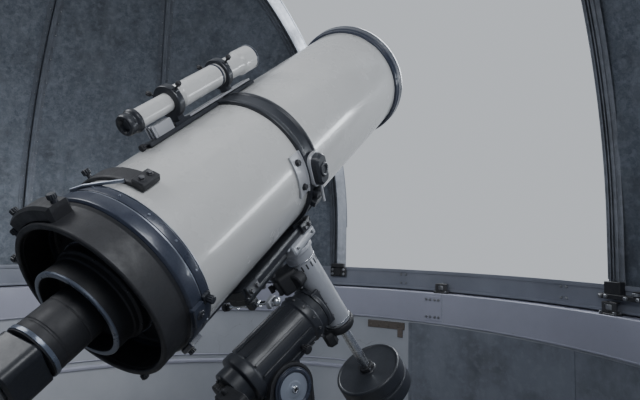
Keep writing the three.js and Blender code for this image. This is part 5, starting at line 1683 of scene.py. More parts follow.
@dataclass
class DeclinationUnit(SubAssembly):
    """The declination housing, the saddle on it, the slow-motion rod and the counterweight."""

    body: Body = Body.TELESCOPE
    start: float = 340.6
    barrel: float = 379.0
    end: float = 700.0
    collar: float = 740.0
    radius: float = 52.0
    flange: float = 66.0
    saddle_top: float = 264.0
    saddle_bottom: float = 300.0
    saddle_half: float = 70.0
    bar_start: float = 268.0
    saddle_ends: tuple[float, float] = (30.0, 711.0)
    shaft: float = 20.0
    weight: Triple = (140.0, 960.0, 1085.0)
    rod_offset: float = 360.0
    rod_place: float = 330.0
    rod_ends: tuple[float, float] = (-107.0, 143.0)

    def build(self) -> None:
        """Housing, saddle, rod and weight."""
        self._housing(STANCE.held_axis)
        self._saddle(STANCE.tube)
        self._slow_motion(STANCE.tube)
        self._weight(STANCE.tube_axis)

    def _housing(self, axis: Axes) -> None:
        """The pale barrel under a square neck, with slots, bright lips, a side bar and a dark collar."""
        s, b, e, r, f = self.start, self.barrel, self.end, self.radius, self.flange
        body = [(self.shaft + 1, s + 6), (r - 4, s + 6), (r, b - 6), (r, e), (self.shaft + 1, e)]
        barrel = hoop(body, [1, 3, 4, 1, 1], 96)
        neck = [
            (r - 4, s), (f - 2, s), (f, s + 3), (f, s + 16), (f - 7, s + 20), (r + 2, b + 10),
            (r - 4, b + 12),
        ]
        pale = [part.placed(axis) for part in (barrel, hoop(neck, 2, 96))]
        head = Body.MOUNT_HEAD
        self.piece("declination_barrel", GREY, *pale, replaces=["declination_housing"], body=head)
        self._gear_case(axis)
        lips = [rectangle((r - 1, z), (r + 3, z + w)) for z, w in ((b + 13, 4), (e - 14, 7))]
        bright = [hoop(lip, 1.2, 96).placed(axis) for lip in lips]
        bar = rod(4.5, 468, 628, 1.5, 20).placed(axis.turned(26).moved(y=-r - 9))
        self.piece("declination_brightwork", BRIGHT, *bright, bar, body=head)
        c, g = self.collar, self.shaft + 1
        collar = [
            (g, e + 0.3), (f - 8, e + 0.3), (f - 5, e + 6), (f - 6, e + 18), (r, c - 6), (r - 8, c), (g, c)
        ]
        slot = prism(rectangle((-3, 0), (3, 22), 2.5), -1, 0.7, 0.2)
        slots = slot.copies([axis.outward(a, r, b + 26) for a in range(-154, 155, 22)])
        stays = block((-8, -6, -2), (8, 6, 13), 3, 1.5).copies([axis.outward(26, r, d) for d in (482, 612)])
        motor = block((-44, -32, 0), (44, 32, 50), 20, 12).placed(axis.outward(26, r - 14, c - 2))
        solids = [hoop(collar, 3, 96).placed(axis), slots, stays, motor]
        self.piece("declination_collar", BLACK_MATT, *solids, body=head)

    def _gear_case(self, axis: Axes) -> None:
        """The dark case of the drive beside the barrel, with a stepped cover, a knob and screws."""
        out = axis.outward(24, self.radius - 12, 436)
        case = block((-48, -42, 0), (48, 42, 84), 16, 8)
        cover = block((-38, -32, 82), (38, 32, 98), 12, 4)
        drum = rod(30, -6, 40, 5).placed(axis.outward(-12, self.radius - 4, 440))
        knob = merged(knurled(15, 104, 122, 14, 1.6), rod(9, 94, 106, 1, 24)).placed(out)
        solids = [case.placed(out), cover.placed(out), drum, knob]
        self.piece("declination_drive", BLACK_MATT, *solids, body=Body.MOUNT_HEAD)
        spots = [out.moved(x=x, y=y, z=98) for x in (-30, 30) for y in (-24, 24)]
        screws = cap_screw(4, 4).copies(spots)
        self.piece("declination_drive_screws", DULL_BOLT, screws, body=Body.MOUNT_HEAD)

    def _seat(self, radius: float, low: float, high: float) -> Solid:
        """A saddle foot between two places along the tube, hollowed to sit on a ring of a radius."""
        half = self.saddle_half - 12
        x = np.linspace(half, -half, 21)
        curve = np.stack([x, -np.sqrt(radius**2 - x**2)], 1)
        top = -self.saddle_top - 2
        return prism(np.concatenate([[(-half - 4, top), (half + 4, top)], curve]), low, high, 2.5)

    def _saddle(self, tube: Axes) -> None:
        """The deep bar under the tube with its feet, clamp bars and bolts, and the pale axis bracket."""
        t, b, h = self.saddle_top, self.saddle_bottom, self.saddle_half
        low, high = self.saddle_ends
        start, pivot = self.bar_start, STANCE.tube_pivot
        half = [(h, -t), (h, -t - 14), (h - 9, -b), (14, -b), (12, -b + 5)]
        section = rounded([(-x, y) for x, y in half] + half[::-1], 2.5)
        slim = rounded([(-24, -255), (24, -255), (22, -268), (-22, -268)], 2)
        hull = [(44, -b + 4), (44, -b - 20), (32, -b - 34), (-32, -b - 34), (-44, -b - 20), (-44, -b + 4)]
        deep = prism(rounded(hull, 6), start + 14, pivot - 88, 8)
        feet = [prism(rectangle((-24, -268), (24, -253), 3), low + 4, 60, 2)]
        feet.append(self._seat(259.8, 617, 697))
        clamp = block((h - 2, -b + 4, 0), (h + 13, -t + 4, 58), 4, 2)
        clamps = [clamp.on(hand).placed(tube.moved(z=s)) for s in (start + 8, 628) for hand in Hand]
        reach, place = self.rod_offset + 15, self.rod_place
        lug_side = [(16, -b + 2), (16, -reach + 7), (8, -reach)]
        lug = prism(rounded([(-x, y) for x, y in lug_side] + lug_side[::-1], 3), place - 16, place + 16, 2)
        bars = (prism(section, start, high, 3), prism(slim, low, start + 40, 2), deep)
        solids = [s.placed(tube) for s in (*bars, *feet, lug)]
        self.piece("saddle_bar", BLACK, *solids, *clamps, replaces=["saddle"])
        under = [tube.outward(0, b + 34, s).moved(x=x) for s in (390, 450, 510) for x in (-20, 20)]
        middle = (b + t) / 2
        side = [
            tube.sideways(hand).moved(x=-hand.value * middle, y=s, z=h + 13)
            for hand in Hand
            for s in (start + 22, start + 52, 642, 672)
        ]
        bolts = merged(hex_bolt(15, 8).copies(under), hex_bolt(13, 7).copies(side))
        self.piece("saddle_bolts", DULL_BOLT, bolts)
        f, end = self.flange, self.start - 0.9
        plate = block((-f - 4, -end, pivot - 80), (f + 4, -b + 4, pivot + 74), 14, 5)
        step = block((-f + 6, -b - 10, pivot - 96), (f - 6, -b + 6, pivot + 84), 8, 3)
        self.piece("axis_bracket", GREY, plate.placed(tube), step.placed(tube))
        screws = [
            tube.moved(y=-b - 20, z=pivot + z).sideways(hand).moved(z=f + 4)
            for hand in Hand
            for z in (-56, 50)
        ]
        self.piece("axis_bracket_screws", BOLT_STEEL, cap_screw(5, 6).copies(screws))

    def _slow_motion(self, tube: Axes) -> None:
        """The bright rod across the lug, with collars, a ball, a pale bracket and a dark far grip."""
        line = tube.moved(y=-self.rod_offset, z=self.rod_place).sideways(Hand.RIGHT)
        near, far = self.rod_ends
        shaft = rod(6.8, near, far, 1.5, 28)
        collars = [rod(11, a, a + 9, 1.5, 28) for a in (-34, 26, 74)]
        knob = ball(15).placed(WORLD.moved(z=near))
        bright = [s.placed(line) for s in (shaft, *collars, knob)]
        self.piece("slow_motion_rod", BRIGHT, *bright, replaces=["tangent_screw"])
        bracket = block((-14, -20, near + 12), (14, 20, near + 32), 6, 2)
        self.piece("slow_motion_bracket", GREY, bracket.placed(line))
        grip = merged(knurled(14, far - 16, far + 4, 16, 1.5), rod(9, far - 30, far - 15, 1.5))
        self.piece("slow_motion_grip", BLACK_MATT, grip.placed(line))

    def _weight(self, axis: Axes) -> None:
        """The turned shaft, the weight with its stepped faces and groove, and the end nut."""
        r, low, high = self.weight
        s = self.shaft
        profile = [(s - 2, self.start - 0.4), (s, self.start + 1.6)]
        threads = np.arange(high + 2, high + 18, 3)
        profile += [pair for d in threads for pair in ((s, d), (s - 1.2, d + 1.5))]
        profile.append((s - 3, high + 20))
        shaft = spindle(profile, 64).placed(axis)
        self.piece("weight_shaft", BRIGHT, shaft, replaces=["counterweight_shaft"])
        face = [(s + 0.3, 0), (34, 0), (36, 3), (r - 14, 3), (r - 10, 0), (r - 4, 0), (r, 5)]
        groove = [(r, 53), (r - 2.5, 56), (r - 2.5, 66), (r, 69)]
        outline = [(x, low + z) for x, z in face + groove] + [(x, high - z) for x, z in face[::-1]]
        body = hoop(outline, 1.6, 128)
        self.piece("weight_drum", BLACK, body.placed(axis), replaces=["counterweight"])
        nut = prism(circle(27, 6), high + 0.3, high + 15, 3)
        stop = [(s + 0.4, low - 18), (31, low - 18), (31, low - 2), (s + 0.4, low - 2)]
        screw = cap_screw(5, 6).placed(axis.outward(-60, 31, low - 10))
        self.piece("weight_nut", BOLT_STEEL, nut.placed(axis), screw)
        self.piece("weight_stop", BLACK_MATT, hoop(stop, 2, 48).placed(axis))


# Telescope


@dataclass
class TubeUnit(SubAssembly):
    """The tube with its two end rings, back plate, mirror and the spider in its mouth."""

    body: Body = Body.TELESCOPE
    radius: float = 245.0
    wall: float = 6.0
    rear: float = 72.0
    front: float = 1479.0
    mouth: float = 1541.0
    seam: float = 42.0
    rear_radius: float = 253.0
    front_radius: float = 261.0
    rim_back: float = -88.0
    rim_radius: float = 240.0
    cell_inner: float = 224.0
    mirror: float = 213.5
    mirror_hole: float = 50.0

    def build(self) -> None:
        """Skin, rings, back and spider."""
        tube = STANCE.tube
        self._skin(tube)
        self._front_ring(tube)
        self._rear_cell(tube)
        self._rear_rim(tube)
        self._back(tube)
        self._spider(tube)

    def _skin(self, tube: Axes) -> None:
        """The glossy outside and the matt black inside of the tube, as two thin tubes."""
        r, inner, low, high = self.radius, self.radius - self.wall, self.rear + 0.3, self.front + 21.7
        outside = ring([(r - 3, low), (r, low), (r, high), (r - 3, high)], 256)
        inside = ring([(inner, low), (r - 3.1, low), (r - 3.1, high), (inner, high)], 128)
        halves = ["tube_wall_lower", "tube_wall_upper"]
        # The glossy outside carries painted shade: its paint is darker than the real off-white.
        self.piece("tube_skin", CREAM_SHADED, outside.placed(tube), replaces=halves)
        self.piece("tube_blackening", BLACK_MATT, inside.placed(tube))

    def _front_ring(self, tube: Axes) -> None:
        """The dark front ring, stepped out towards the mouth, with a lighter blue-grey rim that is a
        painted highlight.
        """
        r, f, m, out = self.radius, self.front, self.mouth, self.front_radius
        neck, bore = out - 5, out - 25
        section = [(r + 0.3, f), (neck - 2, f), (neck, f + 3), (neck, f + 12), (out - 1, f + 16)]
        section += [(out, f + 20), (out, m - 10), (out - 4, m), (bore, m), (bore, f + 22)]
        band = hoop(section + [(r + 0.3, f + 22)], 1.5, 256).placed(tube)
        self.piece("front_band", BLUE_BLACK, band, replaces=["front_ring"])
        rim = [(out - 2, m - 9), (out + 1.5, m - 9), (out - 1, m + 0.5), (out - 8, m + 2), (out - 8, m - 1)]
        self.piece("front_rim_highlight", RIM_HIGHLIGHT, hoop(rim, 1, 256).placed(tube))
        screws = [tube.outward(a, neck, f + 6) for a in range(15, 360, 30)]
        self.piece("front_screws", DULL_BOLT, cap_screw(3.4, 3).copies(screws))

    def _rear_cell(self, tube: Axes) -> None:
        """Two dark bands with a bright seam between them, side knobs and a joint plate."""
        c, r, s, f = self.cell_inner, self.rear_radius, self.seam, self.rear
        wide = hoop([(c, 0), (r - 6, 0), (r, 6), (r, s - 0.5), (c, s - 0.5)], 2, 256)
        narrow = [(c, s + 4.2), (r - 1, s + 4.2), (r - 1, f - 3), (r - 3, f), (c, f)]
        seam = ring([(c, s - 0.3), (r - 3, s - 0.3), (r - 3, s + 4), (c, s + 4)], 256)
        skin = self.radius + 0.3
        edge = [(skin, f + 0.2), (r - 1.5, f + 0.2), (r - 2, f + 3), (skin, f + 4)]
        joint = [prism(bow(r - 3, r + 12, 7), -4, 38, 3).placed(tube.turned(a)) for a in (-56, -24)]
        self.piece("rear_band", BLUE_BLACK, wide.placed(tube), *joint, replaces=["rear_cell"])
        front = hoop(narrow, 1.5, 256).placed(tube)
        self.piece("rear_band_front", BLUE_BLACK, front)
        grip = merged(knurled(11, 9, 25, 12, 1.4), rod(5, -2, 10, 0.8, 20))
        base = block((-15, -14, -3), (15, 14, 6), 5, 2)
        spots = [tube.outward(a, r, z) for a, z in ((-61, 56), (-19, 15))]
        eye = merged(rod(13, 9, 16, 2), rod(6, 15, 20, 1.5, 20)).placed(tube.outward(-57, r, 16))
        self.piece("cell_knobs", BLACK, grip.copies(spots), base.copies(spots), eye)
        screws = cap_screw(3, 2.5).copies([tube.outward(a, r - 1, 60) for a in range(0, 360, 20)])
        lines = [seam.placed(tube), hoop(edge, 0.8, 256).placed(tube), screws]
        self.piece("cell_brightwork", SEAM_STEEL, *lines)

    def _rear_rim(self, tube: Axes) -> None:
        """The thinner black rim behind the bands, with an arc-shaped clamp over it and small knobs."""
        c, r, low = self.cell_inner, self.rim_radius, self.rim_back
        section = [(c, low + 3), (c + 3, low), (r - 3, low), (r, low + 4), (r, -7), (r + 6, 0.5), (c, 0.5)]
        lip = ring(rectangle((c - 1, low + 12), (c + 2, low + 18), 0.8), 192)
        clamp = prism(bow(r - 4, r + 38, 22), -78, -18, 7).placed(tube.turned(-178))
        rim = hoop(section, 1.5, 256)
        self.piece("rear_rim", BLACK_MATT, rim.placed(tube), clamp, lip.placed(tube))
        places = ((6, r, -74), (130, r + 10, -74), (158, r, -74), (-198, r + 37, -48), (-158, r + 37, -48))
        grip = merged(knurled(11, 9, 23, 12, 1.4), rod(8, -12, 10, 0.8, 20))
        self.piece("rim_knobs", BLACK, grip.copies([tube.outward(*p) for p in places]))
        stay = [tube.outward(a, 256, s).origin for a, s in ((183, 48), (192, 60), (203, 76), (213, 108))]
        self.piece("strap_stay", SEAM_STEEL, pipe(stay, 5))

    def _back(self, tube: Axes) -> None:
        """The recessed back plate with its steps and bolts, and the mirror in front of it."""
        c = self.cell_inner - 0.3
        section = [(60, 14), (150, 14), (152, 12), (176, 12), (178, 15), (c - 12, 15), (c - 8, 11), (c, 11)]
        plate = hoop(section + [(c, 32), (60, 32)], 1.2, 192)
        self.piece("cell_back", BLACK_MATT, plate.placed(tube), replaces=["back_plate"])
        flipped = tube.flipped()
        small = [flipped.turned(a).moved(y=-196, z=-15) for a in range(0, 360, 20)]
        large = [flipped.turned(a + d).moved(y=-164, z=-12) for a in range(20, 360, 120) for d in (-5, 5)]
        bolts = merged(hex_bolt(9, 5, 1).copies(small), hex_bolt(15, 9).copies(large))
        self.piece("back_bolts", BLACK, bolts)
        edge, hole = self.mirror, self.mirror_hole
        x = np.linspace(hole, edge, 24)
        dish = np.stack([x, 66 + (x / edge) ** 2 * 8], 1)
        glass = ring(np.concatenate([[(edge, 32.4), (hole, 32.4)], dish]), 192)
        self.piece("mirror_disc", GLASS, glass.placed(tube), replaces=["primary_mirror"])

    def _spider(self, tube: Axes) -> None:
        """Four thin vanes with end blocks, and the round cell of the second mirror."""
        reach = self.radius - self.wall - 0.7
        vane = block((-1.8, 60, 1442), (1.8, reach, 1478), 1, 0.6)
        end = block((-9, reach - 13, 1448), (9, reach, 1472), 3, 1.5)
        solids = [s.placed(tube.turned(a)) for a in range(0, 360, 90) for s in (vane, end)]
        half = [(40, 1400), (62, 1400), (66, 1406), (66, 1428), (60, 1434), (60, 1466), (66, 1472)]
        cell = spindle(rounded(half + [(62, 1486), (30, 1486)], 2, 2, closed=False), 72).placed(tube)
        self.piece("spider_and_cell", BLACK_MATT, cell, *solids, replaces=["secondary_spider"])


@dataclass
class CradleUnit(SubAssembly):
    """The ring round the tube with its closing clamp and latch plate, and the strap over the rear."""

    body: Body = Body.TELESCOPE
    radius: float = 245.3
    outer: float = 259.0
    low: float = 617.0
    high: float = 697.0
    ear_angle: float = -71.0
    latch_angle: float = -74.0
    latch_half: float = 17.0
    strap: tuple[float, float] = (108.0, 164.0)
    strap_half: float = 46.0

    def build(self) -> None:
        """Ring, clamp, latch and strap."""
        tube = STANCE.tube
        self._ring(tube)
        self._latch(tube)
        self._strap(tube)

    def _ring(self, tube: Axes) -> None:
        """The broad ring with raised borders and a shallow groove, and the oval clamp housing."""
        r, o, a, b = self.radius, self.outer, self.low, self.high
        section = [
            (r, a), (o - 2, a), (o, a + 4), (o, a + 18), (o - 5, a + 22), (o - 5, b - 16), (o, b - 12)
        ]
        band = hoop(section + [(o, b - 4), (o - 2, b), (r, b)], 2, 256)
        middle = (a + b) / 2
        out = tube.outward(self.ear_angle, o, middle)
        oval = prism(rounded(rectangle((-54, -32), (54, 32)), 30, 8), -8, 34, 8).placed(out)
        pit = hoop([(13, 33), (24, 33), (24, 38), (20, 40), (13, 38)], 1.5, 40).placed(out)
        jaw = block((-12, -26, -5), (12, 26, 17), 5, 2)
        jaws = jaw.copies([tube.outward(self.ear_angle + d, o, middle) for d in (19, 28)])
        solids = [band.placed(tube), oval, pit, jaws]
        self.piece("cradle_band", BLACK, *solids, replaces=["cradle_ring"])
        strip = prism(rounded(rectangle((-59, -36), (59, 36)), 32, 8), -4, 9, 1.5)
        stud = pipe([(s, 0, 9) for s in (58, 80, 102, 124)], 5, up=(0, 1, 0))
        self.piece("clamp_strip", LATCH_PAINT, strip.placed(out), stud.placed(out))

    def _latch(self, tube: Axes) -> None:
        """The pale plate behind the ring, curved to the tube, with a raised border and two dark bolts."""
        r, a, h = self.radius, self.low, self.latch_half
        plate = [(r + 0.5, a - 57), (r + 8, a - 57), (r + 8, a - 52), (r + 5, a - 49), (r + 5, a - 6)]
        plate = rounded(plate + [(r + 11, a - 2), (r + 11, a - 0.5), (r + 0.5, a - 0.5)], 1.2)
        arc = ring(plate, 24, self.latch_angle - h, self.latch_angle + h)
        self.piece("latch_plate", LATCH_PAINT, arc.placed(tube), replaces=["ring_latch"])
        spots = [tube.outward(self.latch_angle + d, r + 5, a - 30) for d in (-10, 10)]
        self.piece("latch_bolts", BLACK_MATT, hex_bolt(19, 8, 3).copies(spots))

    def _strap(self, tube: Axes) -> None:
        """The broad strap with end blocks, bolts and an end knob."""
        r, (low, high), half = self.radius, self.strap, self.strap_half
        corners = [(r, low), (r + 8, low), (r + 11, low + 5), (r + 11, high - 5), (r + 8, high), (r, high)]
        arc = hoop(corners, 2, 60, 180 - half, 180 + half).placed(tube)
        middle, ends = (low + high) / 2, (183.5 - half, 176.5 + half)
        blocks = block((-21, -31, 3), (21, 31, 25), 6, 3).copies([tube.outward(a, r, middle) for a in ends])
        self.piece("strap_arc", BLACK_MATT, arc, blocks, replaces=["rear_strap"])
        bolts = [tube.outward(a, r + 25, middle + d) for a in ends for d in (-14, 14)]
        self.piece("strap_bolts", DULL_BOLT, hex_bolt(14, 7).copies(bolts))
        grip = merged(knurled(11, 8, 24, 12, 1.4), rod(6, -14, 9, 0.8, 20))
        self.piece("strap_knob", BLACK, grip.placed(tube.outward(178, r + 12, 124)))


@dataclass
class FinderUnit(SubAssembly):
    """The finder: tube, eyepiece, rings with thumbscrews, and the bar that carries it."""

    body: Body = Body.TELESCOPE
    angle: float = 188.0
    offset: float = 330.0
    radius: float = 38.0
    rear_radius: float = 29.0
    eye_radius: float = 32.0
    bar_low: float = 246.5
    bar_high: float = 268.0
    bar_ends: tuple[float, float] = (295.0, 830.0)
    cradle: tuple[float, float] = (616.0, 698.0)
    rings: tuple[tuple[float, float], ...] = ((450.0, 29.0), (700.0, 38.0))

    def build(self) -> None:
        """Tube, eyepiece, bar and rings."""
        frame = STANCE.tube.turned(self.angle)
        axis = frame.moved(y=-self.offset)
        self._tube(axis)
        self._bar(frame)
        self._rings(axis)

    def _tube(self, axis: Axes) -> None:
        """The pale tube in three steps, with a thin dark band, a dark front rim and eyepiece."""
        r, n, e = self.radius, self.rear_radius, self.eye_radius
        profile = [
            (n - 6, 300.3), (n, 300.3), (n, 478), (r, 490), (r, 798), (r + 6, 810), (r + 6, 876), (r, 876)
        ]
        barrel = turning(profile, 2, 72).placed(axis)
        # The finder's paint carries the same painted shade as the main tube.
        self.piece("finder_barrel", CREAM_SHADED, barrel, replaces=["finder_tube"])
        band = ring(rectangle((r - 1, 673), (r + 2, 680), 0.8), 72)
        rim = [(r - 1, 874), (r + 7, 874), (r + 7, 884), (r + 3, 885), (r + 1, 880), (r - 1, 880)]
        dark = [band.placed(axis), hoop(rim, 1, 72).placed(axis)]
        self.piece("finder_bands", BLUE_BLACK, *dark)
        glass = spindle([(r + 1, 878), (r - 6, 880), (r * 0.5, 882), (4, 883)], 48)
        self.piece("finder_lens", LENS, glass.placed(axis))
        eye = [
            (14, 272), (19, 266), (21, 262), (e - 3, 262), (e, 268), (e, 280), (e - 3, 283), (e - 3, 288)
        ]
        eye += [(e + 1, 292), (e + 4, 296), (e + 4, 306), (n - 3, 306)]
        body = turning(eye, 1.5, 72).placed(axis)
        self.piece("finder_eye_end", BLACK, body)

    def _bar(self, frame: Axes) -> None:
        """The dovetail bar on the tube, the flat pale bar over it, its end block and knobs."""
        low, high, (start, end) = self.bar_low, self.bar_high, self.bar_ends
        foot = rounded([(-24, -low), (24, -low), (20, -low - 12), (-20, -low - 12)], 1.5)
        ridge = rectangle((-17, -low - 11), (17, -high), 1.5)
        spans = ((foot, start, self.cradle[0]), (foot, self.cradle[1], end), (ridge, 416, 486))
        dark = [prism(shape, a, b, 2).placed(frame) for shape, a, b in spans]
        self.piece("finder_dovetail", BLACK, *dark, replaces=["finder_mount"])
        carrier = block((-19, -high - 25, 338), (19, -high + 10, 408), 3, 2)
        bars = [block((x - 3, -high - 27, 331), (x + 3, -low - 8, 339), 1, 0.8) for x in (-13, 0, 13)]
        flat = rectangle((-15, -high + 7), (15, -high), 1.5)
        pale = [s.placed(frame) for s in (carrier, prism(flat, 486, end - 8, 1.5), *bars)]
        self.piece("finder_bar", LATCH_PAINT, *pale)
        grip = merged(knurled(10, 6, 20, 12, 1.4), rod(5, -2, 7, 0.8, 20))
        tail = frame.moved(y=-low - 8, z=start).flipped()
        side = frame.moved(y=-low - 6, z=372).sideways(Hand.LEFT).moved(z=22)
        self.piece("finder_bar_knobs", BLACK_MATT, grip.copies([tail, side]))

    def _rings(self, axis: Axes) -> None:
        """Two dark rings on posts, with long thumbscrews whose tips reach the tube."""
        outer = self.radius + 14
        post = block((-16, self.radius + 8, -13), (16, self.offset - self.bar_high + 1, 13), 3, 2, Along.Y)
        boss = block((-8, -9, outer - 6), (8, 9, outer + 4), 3, 1.5)
        solids, screws = [], []
        for place, held in self.rings:
            at = axis.moved(z=place)
            section = [(held + 0.8, -13), (outer - 2, -13), (outer, -9), (outer, 9), (outer - 2, 13)]
            clasp = hoop(section + [(held + 0.8, 13)], 1.5, 72)
            sides = [at.outward(a, 0) for a in (60, 300)]
            solids += [clasp.placed(at), post.placed(at), boss.copies(sides)]
            head = outer + 20
            thumb = merged(rod(3.2, held - 1, head, 0.6, 16), knurled(8, head, head + 14, 10, 1.0))
            screws.append(thumb.copies(sides))
        self.piece("finder_rings", BLACK, *solids)
        self.piece("finder_thumbscrews", BLACK_MATT, *screws)


@dataclass
class FocuserUnit(SubAssembly):
    """The focuser's fixed cup, and the sliding draw tube with its mirror diagonal and eyepiece."""

    body: Body = Body.FOCUSER
    flange: float = 146.0
    back: float = 11.7
    rim: float = -125.0
    radius: float = 130.0
    draw: float = 72.0
    draw_end: float = -250.0
    box_turn: float = 31.5
    box_half: float = 60.0
    box_middle: float = -298.0
    holder: float = 38.0
    holder_end: float = 112.0
    eyepiece: float = 31.0
    eyepiece_end: float = 195.0

    def build(self) -> None:
        """Cup, draw tube, diagonal and eyepiece."""
        tube = STANCE.tube
        self._cup(tube)
        self._draw_tube(tube)
        self._diagonal(tube.turned(self.box_turn))
        self._eyepiece(tube.turned(self.box_turn).moved(z=self.box_middle).sideways(Hand.RIGHT))

    def _cup(self, tube: Axes) -> None:
        """The stepped flange and the deep round cup, with a lighter ring on its rim and a thin one on the
        flange: a painted highlight.
        """
        f, r, m, bore = self.flange, self.radius, self.rim, self.draw + 1.2
        section = [(bore, self.back), (f, self.back), (f, -24), (f - 5, -29), (f - 5, -52), (r + 5, -58)]
        section += [(r + 3, -68), (r, -72), (r, m + 4), (r - 3, m), (117, m), (116, m + 2), (112, -74)]
        section += [(96, -70), (92, -64), (82, -64), (80, -70), (bore, -70)]
        cup = hoop(section, 1.6, 160).placed(tube)
        self.piece("focuser_cup", BLACK_MATT, cup, replaces=["focuser_body"], body=Body.TELESCOPE)
        edge = [(117.5, m - 0.8), (r - 1, m - 0.8), (r + 0.8, m + 2), (r + 0.8, m + 6), (r - 1, m + 6)]
        line = [(f - 1, -26), (f + 0.8, -26), (f + 0.8, -22), (f - 1, -22)]
        rims = [hoop(s, 0.8, 160).placed(tube) for s in (edge + [(117.5, m + 3)], line)]
        self.piece("focuser_rim_highlights", RIM_HIGHLIGHT, *rims, body=Body.TELESCOPE)
        screws = [tube.flipped().turned(a).moved(y=-f + 9, z=52) for a in range(0, 360, 45)]
        self.piece("focuser_screws", DULL_BOLT, cap_screw(4, 4).copies(screws), body=Body.TELESCOPE)
        lock = merged(knurled(9, 8, 20, 12, 1.2), rod(4.5, -3, 9, 0.8, 20))
        locks = lock.copies([tube.outward(a, f - 5, -40) for a in (-70, 110)])
        self.piece("focuser_locks", BLACK, locks, body=Body.TELESCOPE)

    def _draw_tube(self, tube: Axes) -> None:
        """The sliding tube with thin grooves and a clamping band at its back."""
        r, e = self.draw, self.draw_end
        section = [(52, e), (r, e), (r, e + 34), (r - 1.5, e + 36), (r - 1.5, e + 40), (r, e + 42)]
        section += [
            (r, e + 100), (r - 1, e + 101), (r - 1, e + 103), (r, e + 104), (r, 3), (r - 2, 4), (52, 4)
        ]
        barrel = ring(rounded(section, 0.8, 2), 112).placed(tube)
        self.piece("draw_barrel", BLACK_MATT, barrel, replaces=["draw_tube"])
        band = [(r - 1, e + 3), (r + 3, e + 3), (r + 3, e + 14), (r - 1, e + 14)]
        # The band's lighter blue-grey is a painted highlight.
        self.piece("draw_band", RIM_HIGHLIGHT, hoop(band, 1, 112).placed(tube))

    def _diagonal(self, tube: Axes) -> None:
        """The rounded box of the mirror with its back plate and a bright lever."""
        h, e = self.box_half, self.draw_end
        low = 2 * self.box_middle - e
        box = prism(rectangle((-h, -h), (h, h), 24, 6), low, e - 0.3, 6)
        plate = prism(rectangle((13 - h, 13 - h), (h - 13, h - 13), 18, 6), low - 5, low + 2, 2)
        solids = [part.placed(tube) for part in (box, plate)]
        self.piece("diagonal_box", BLACK, *solids, replaces=["mirror_diagonal"])
        neck = [(h - 2, e - 1), (h + 6, e + 4), (h + 6, e + 12), (h - 2, e + 16)]
        ferrule = turning(neck, 1.5, 72).placed(tube)
        self.piece("diagonal_neck", BLACK_MATT, ferrule)
        corners = [tube.moved(x=x, y=y, z=low - 5).flipped() for x in (-36, 36) for y in (-36, 36)]
        lever = tube.outward(0, h, self.box_middle - 26).moved(x=20)
        arm = merged(rod(8.5, -6, 44, 1.5, 28), rod(12, 0, 6, 1.5, 28)).placed(lever)
        self.piece("diagonal_brightwork", BRIGHT, arm, cap_screw(5, 4).copies(corners))

    def _eyepiece(self, side: Axes) -> None:
        """The round eyepiece holder with a collar and knobs, and the eyepiece in it."""
        h, r, e, end = self.box_half, self.holder, self.holder_end, self.eyepiece
        profile = [
            (r - 6, h - 4), (r, h), (r, h + 18), (r - 4, h + 22), (r - 4, e - 10), (r, e - 7), (r, e - 0.4)
        ]
        holder = turning(profile + [(end - 8, e)], 1.5, 72).placed(side)
        self.piece("eyepiece_holder", BLACK, holder)
        a, b = e + 0.3, self.eyepiece_end
        eye = [
            (end - 7, a), (end - 1, a), (end, a + 6), (end, a + 32), (end - 3, a + 36), (end - 3, a + 44)
        ]
        eye += [(end, a + 48), (end, b - 9), (end - 4, b), (end - 14, b), (end - 17, b - 7)]
        barrel = turning(eye, 1.5, 72).placed(side)
        self.piece("eyepiece_barrel", BLACK_MATT, barrel, replaces=["eyepiece"])
        collar = [(r - 5, h + 24), (r - 0.5, h + 24), (r - 0.5, h + 34), (r - 5, h + 34)]
        # The collar's lighter blue-grey is a painted highlight.
        self.piece("eyepiece_collar", RIM_HIGHLIGHT, hoop(collar, 1, 72).placed(side))
        grip = merged(knurled(12, 14, 32, 14, 1.6), rod(7, -4, 15, 1, 24))
        knobs = grip.copies([side.outward(a, r - 1, h + 12) for a in (-60, 60)])
        self.piece("diagonal_knobs", BLACK, knobs)


# Stage


@dataclass(frozen=True)
class Lamp:
    """A soft rectangular light: where it hangs, where it points, its size in metres, power and colour."""

    name: str
    place: Triple
    target: Triple
    size: tuple[float, float]
    watts: float
    colour: Triple = (1.0, 1.0, 1.0)
    long_side: Triple | None = None

    def hang(self) -> None:
        """Adds the light to the scene, its long side turned to a direction where one is given."""
        light = bpy.data.lights.new(self.name, "AREA")
        light.shape = "RECTANGLE"
        light.size, light.size_y = self.size
        light.energy = self.watts
        light.color = self.colour
        lamp = bpy.data.objects.new(self.name, light)
        lamp.location = self.place
        back = (Vector(self.place) - Vector(self.target)).normalized()
        side = Vector(self.long_side) if self.long_side else Vector((0, 0, 1)).cross(back)
        up = back.cross(side).normalized()
        lamp.rotation_euler = Matrix((up.cross(back), up, back)).transposed().to_euler()
        lamp.visible_camera = False
        bpy.context.scene.collection.objects.link(lamp)


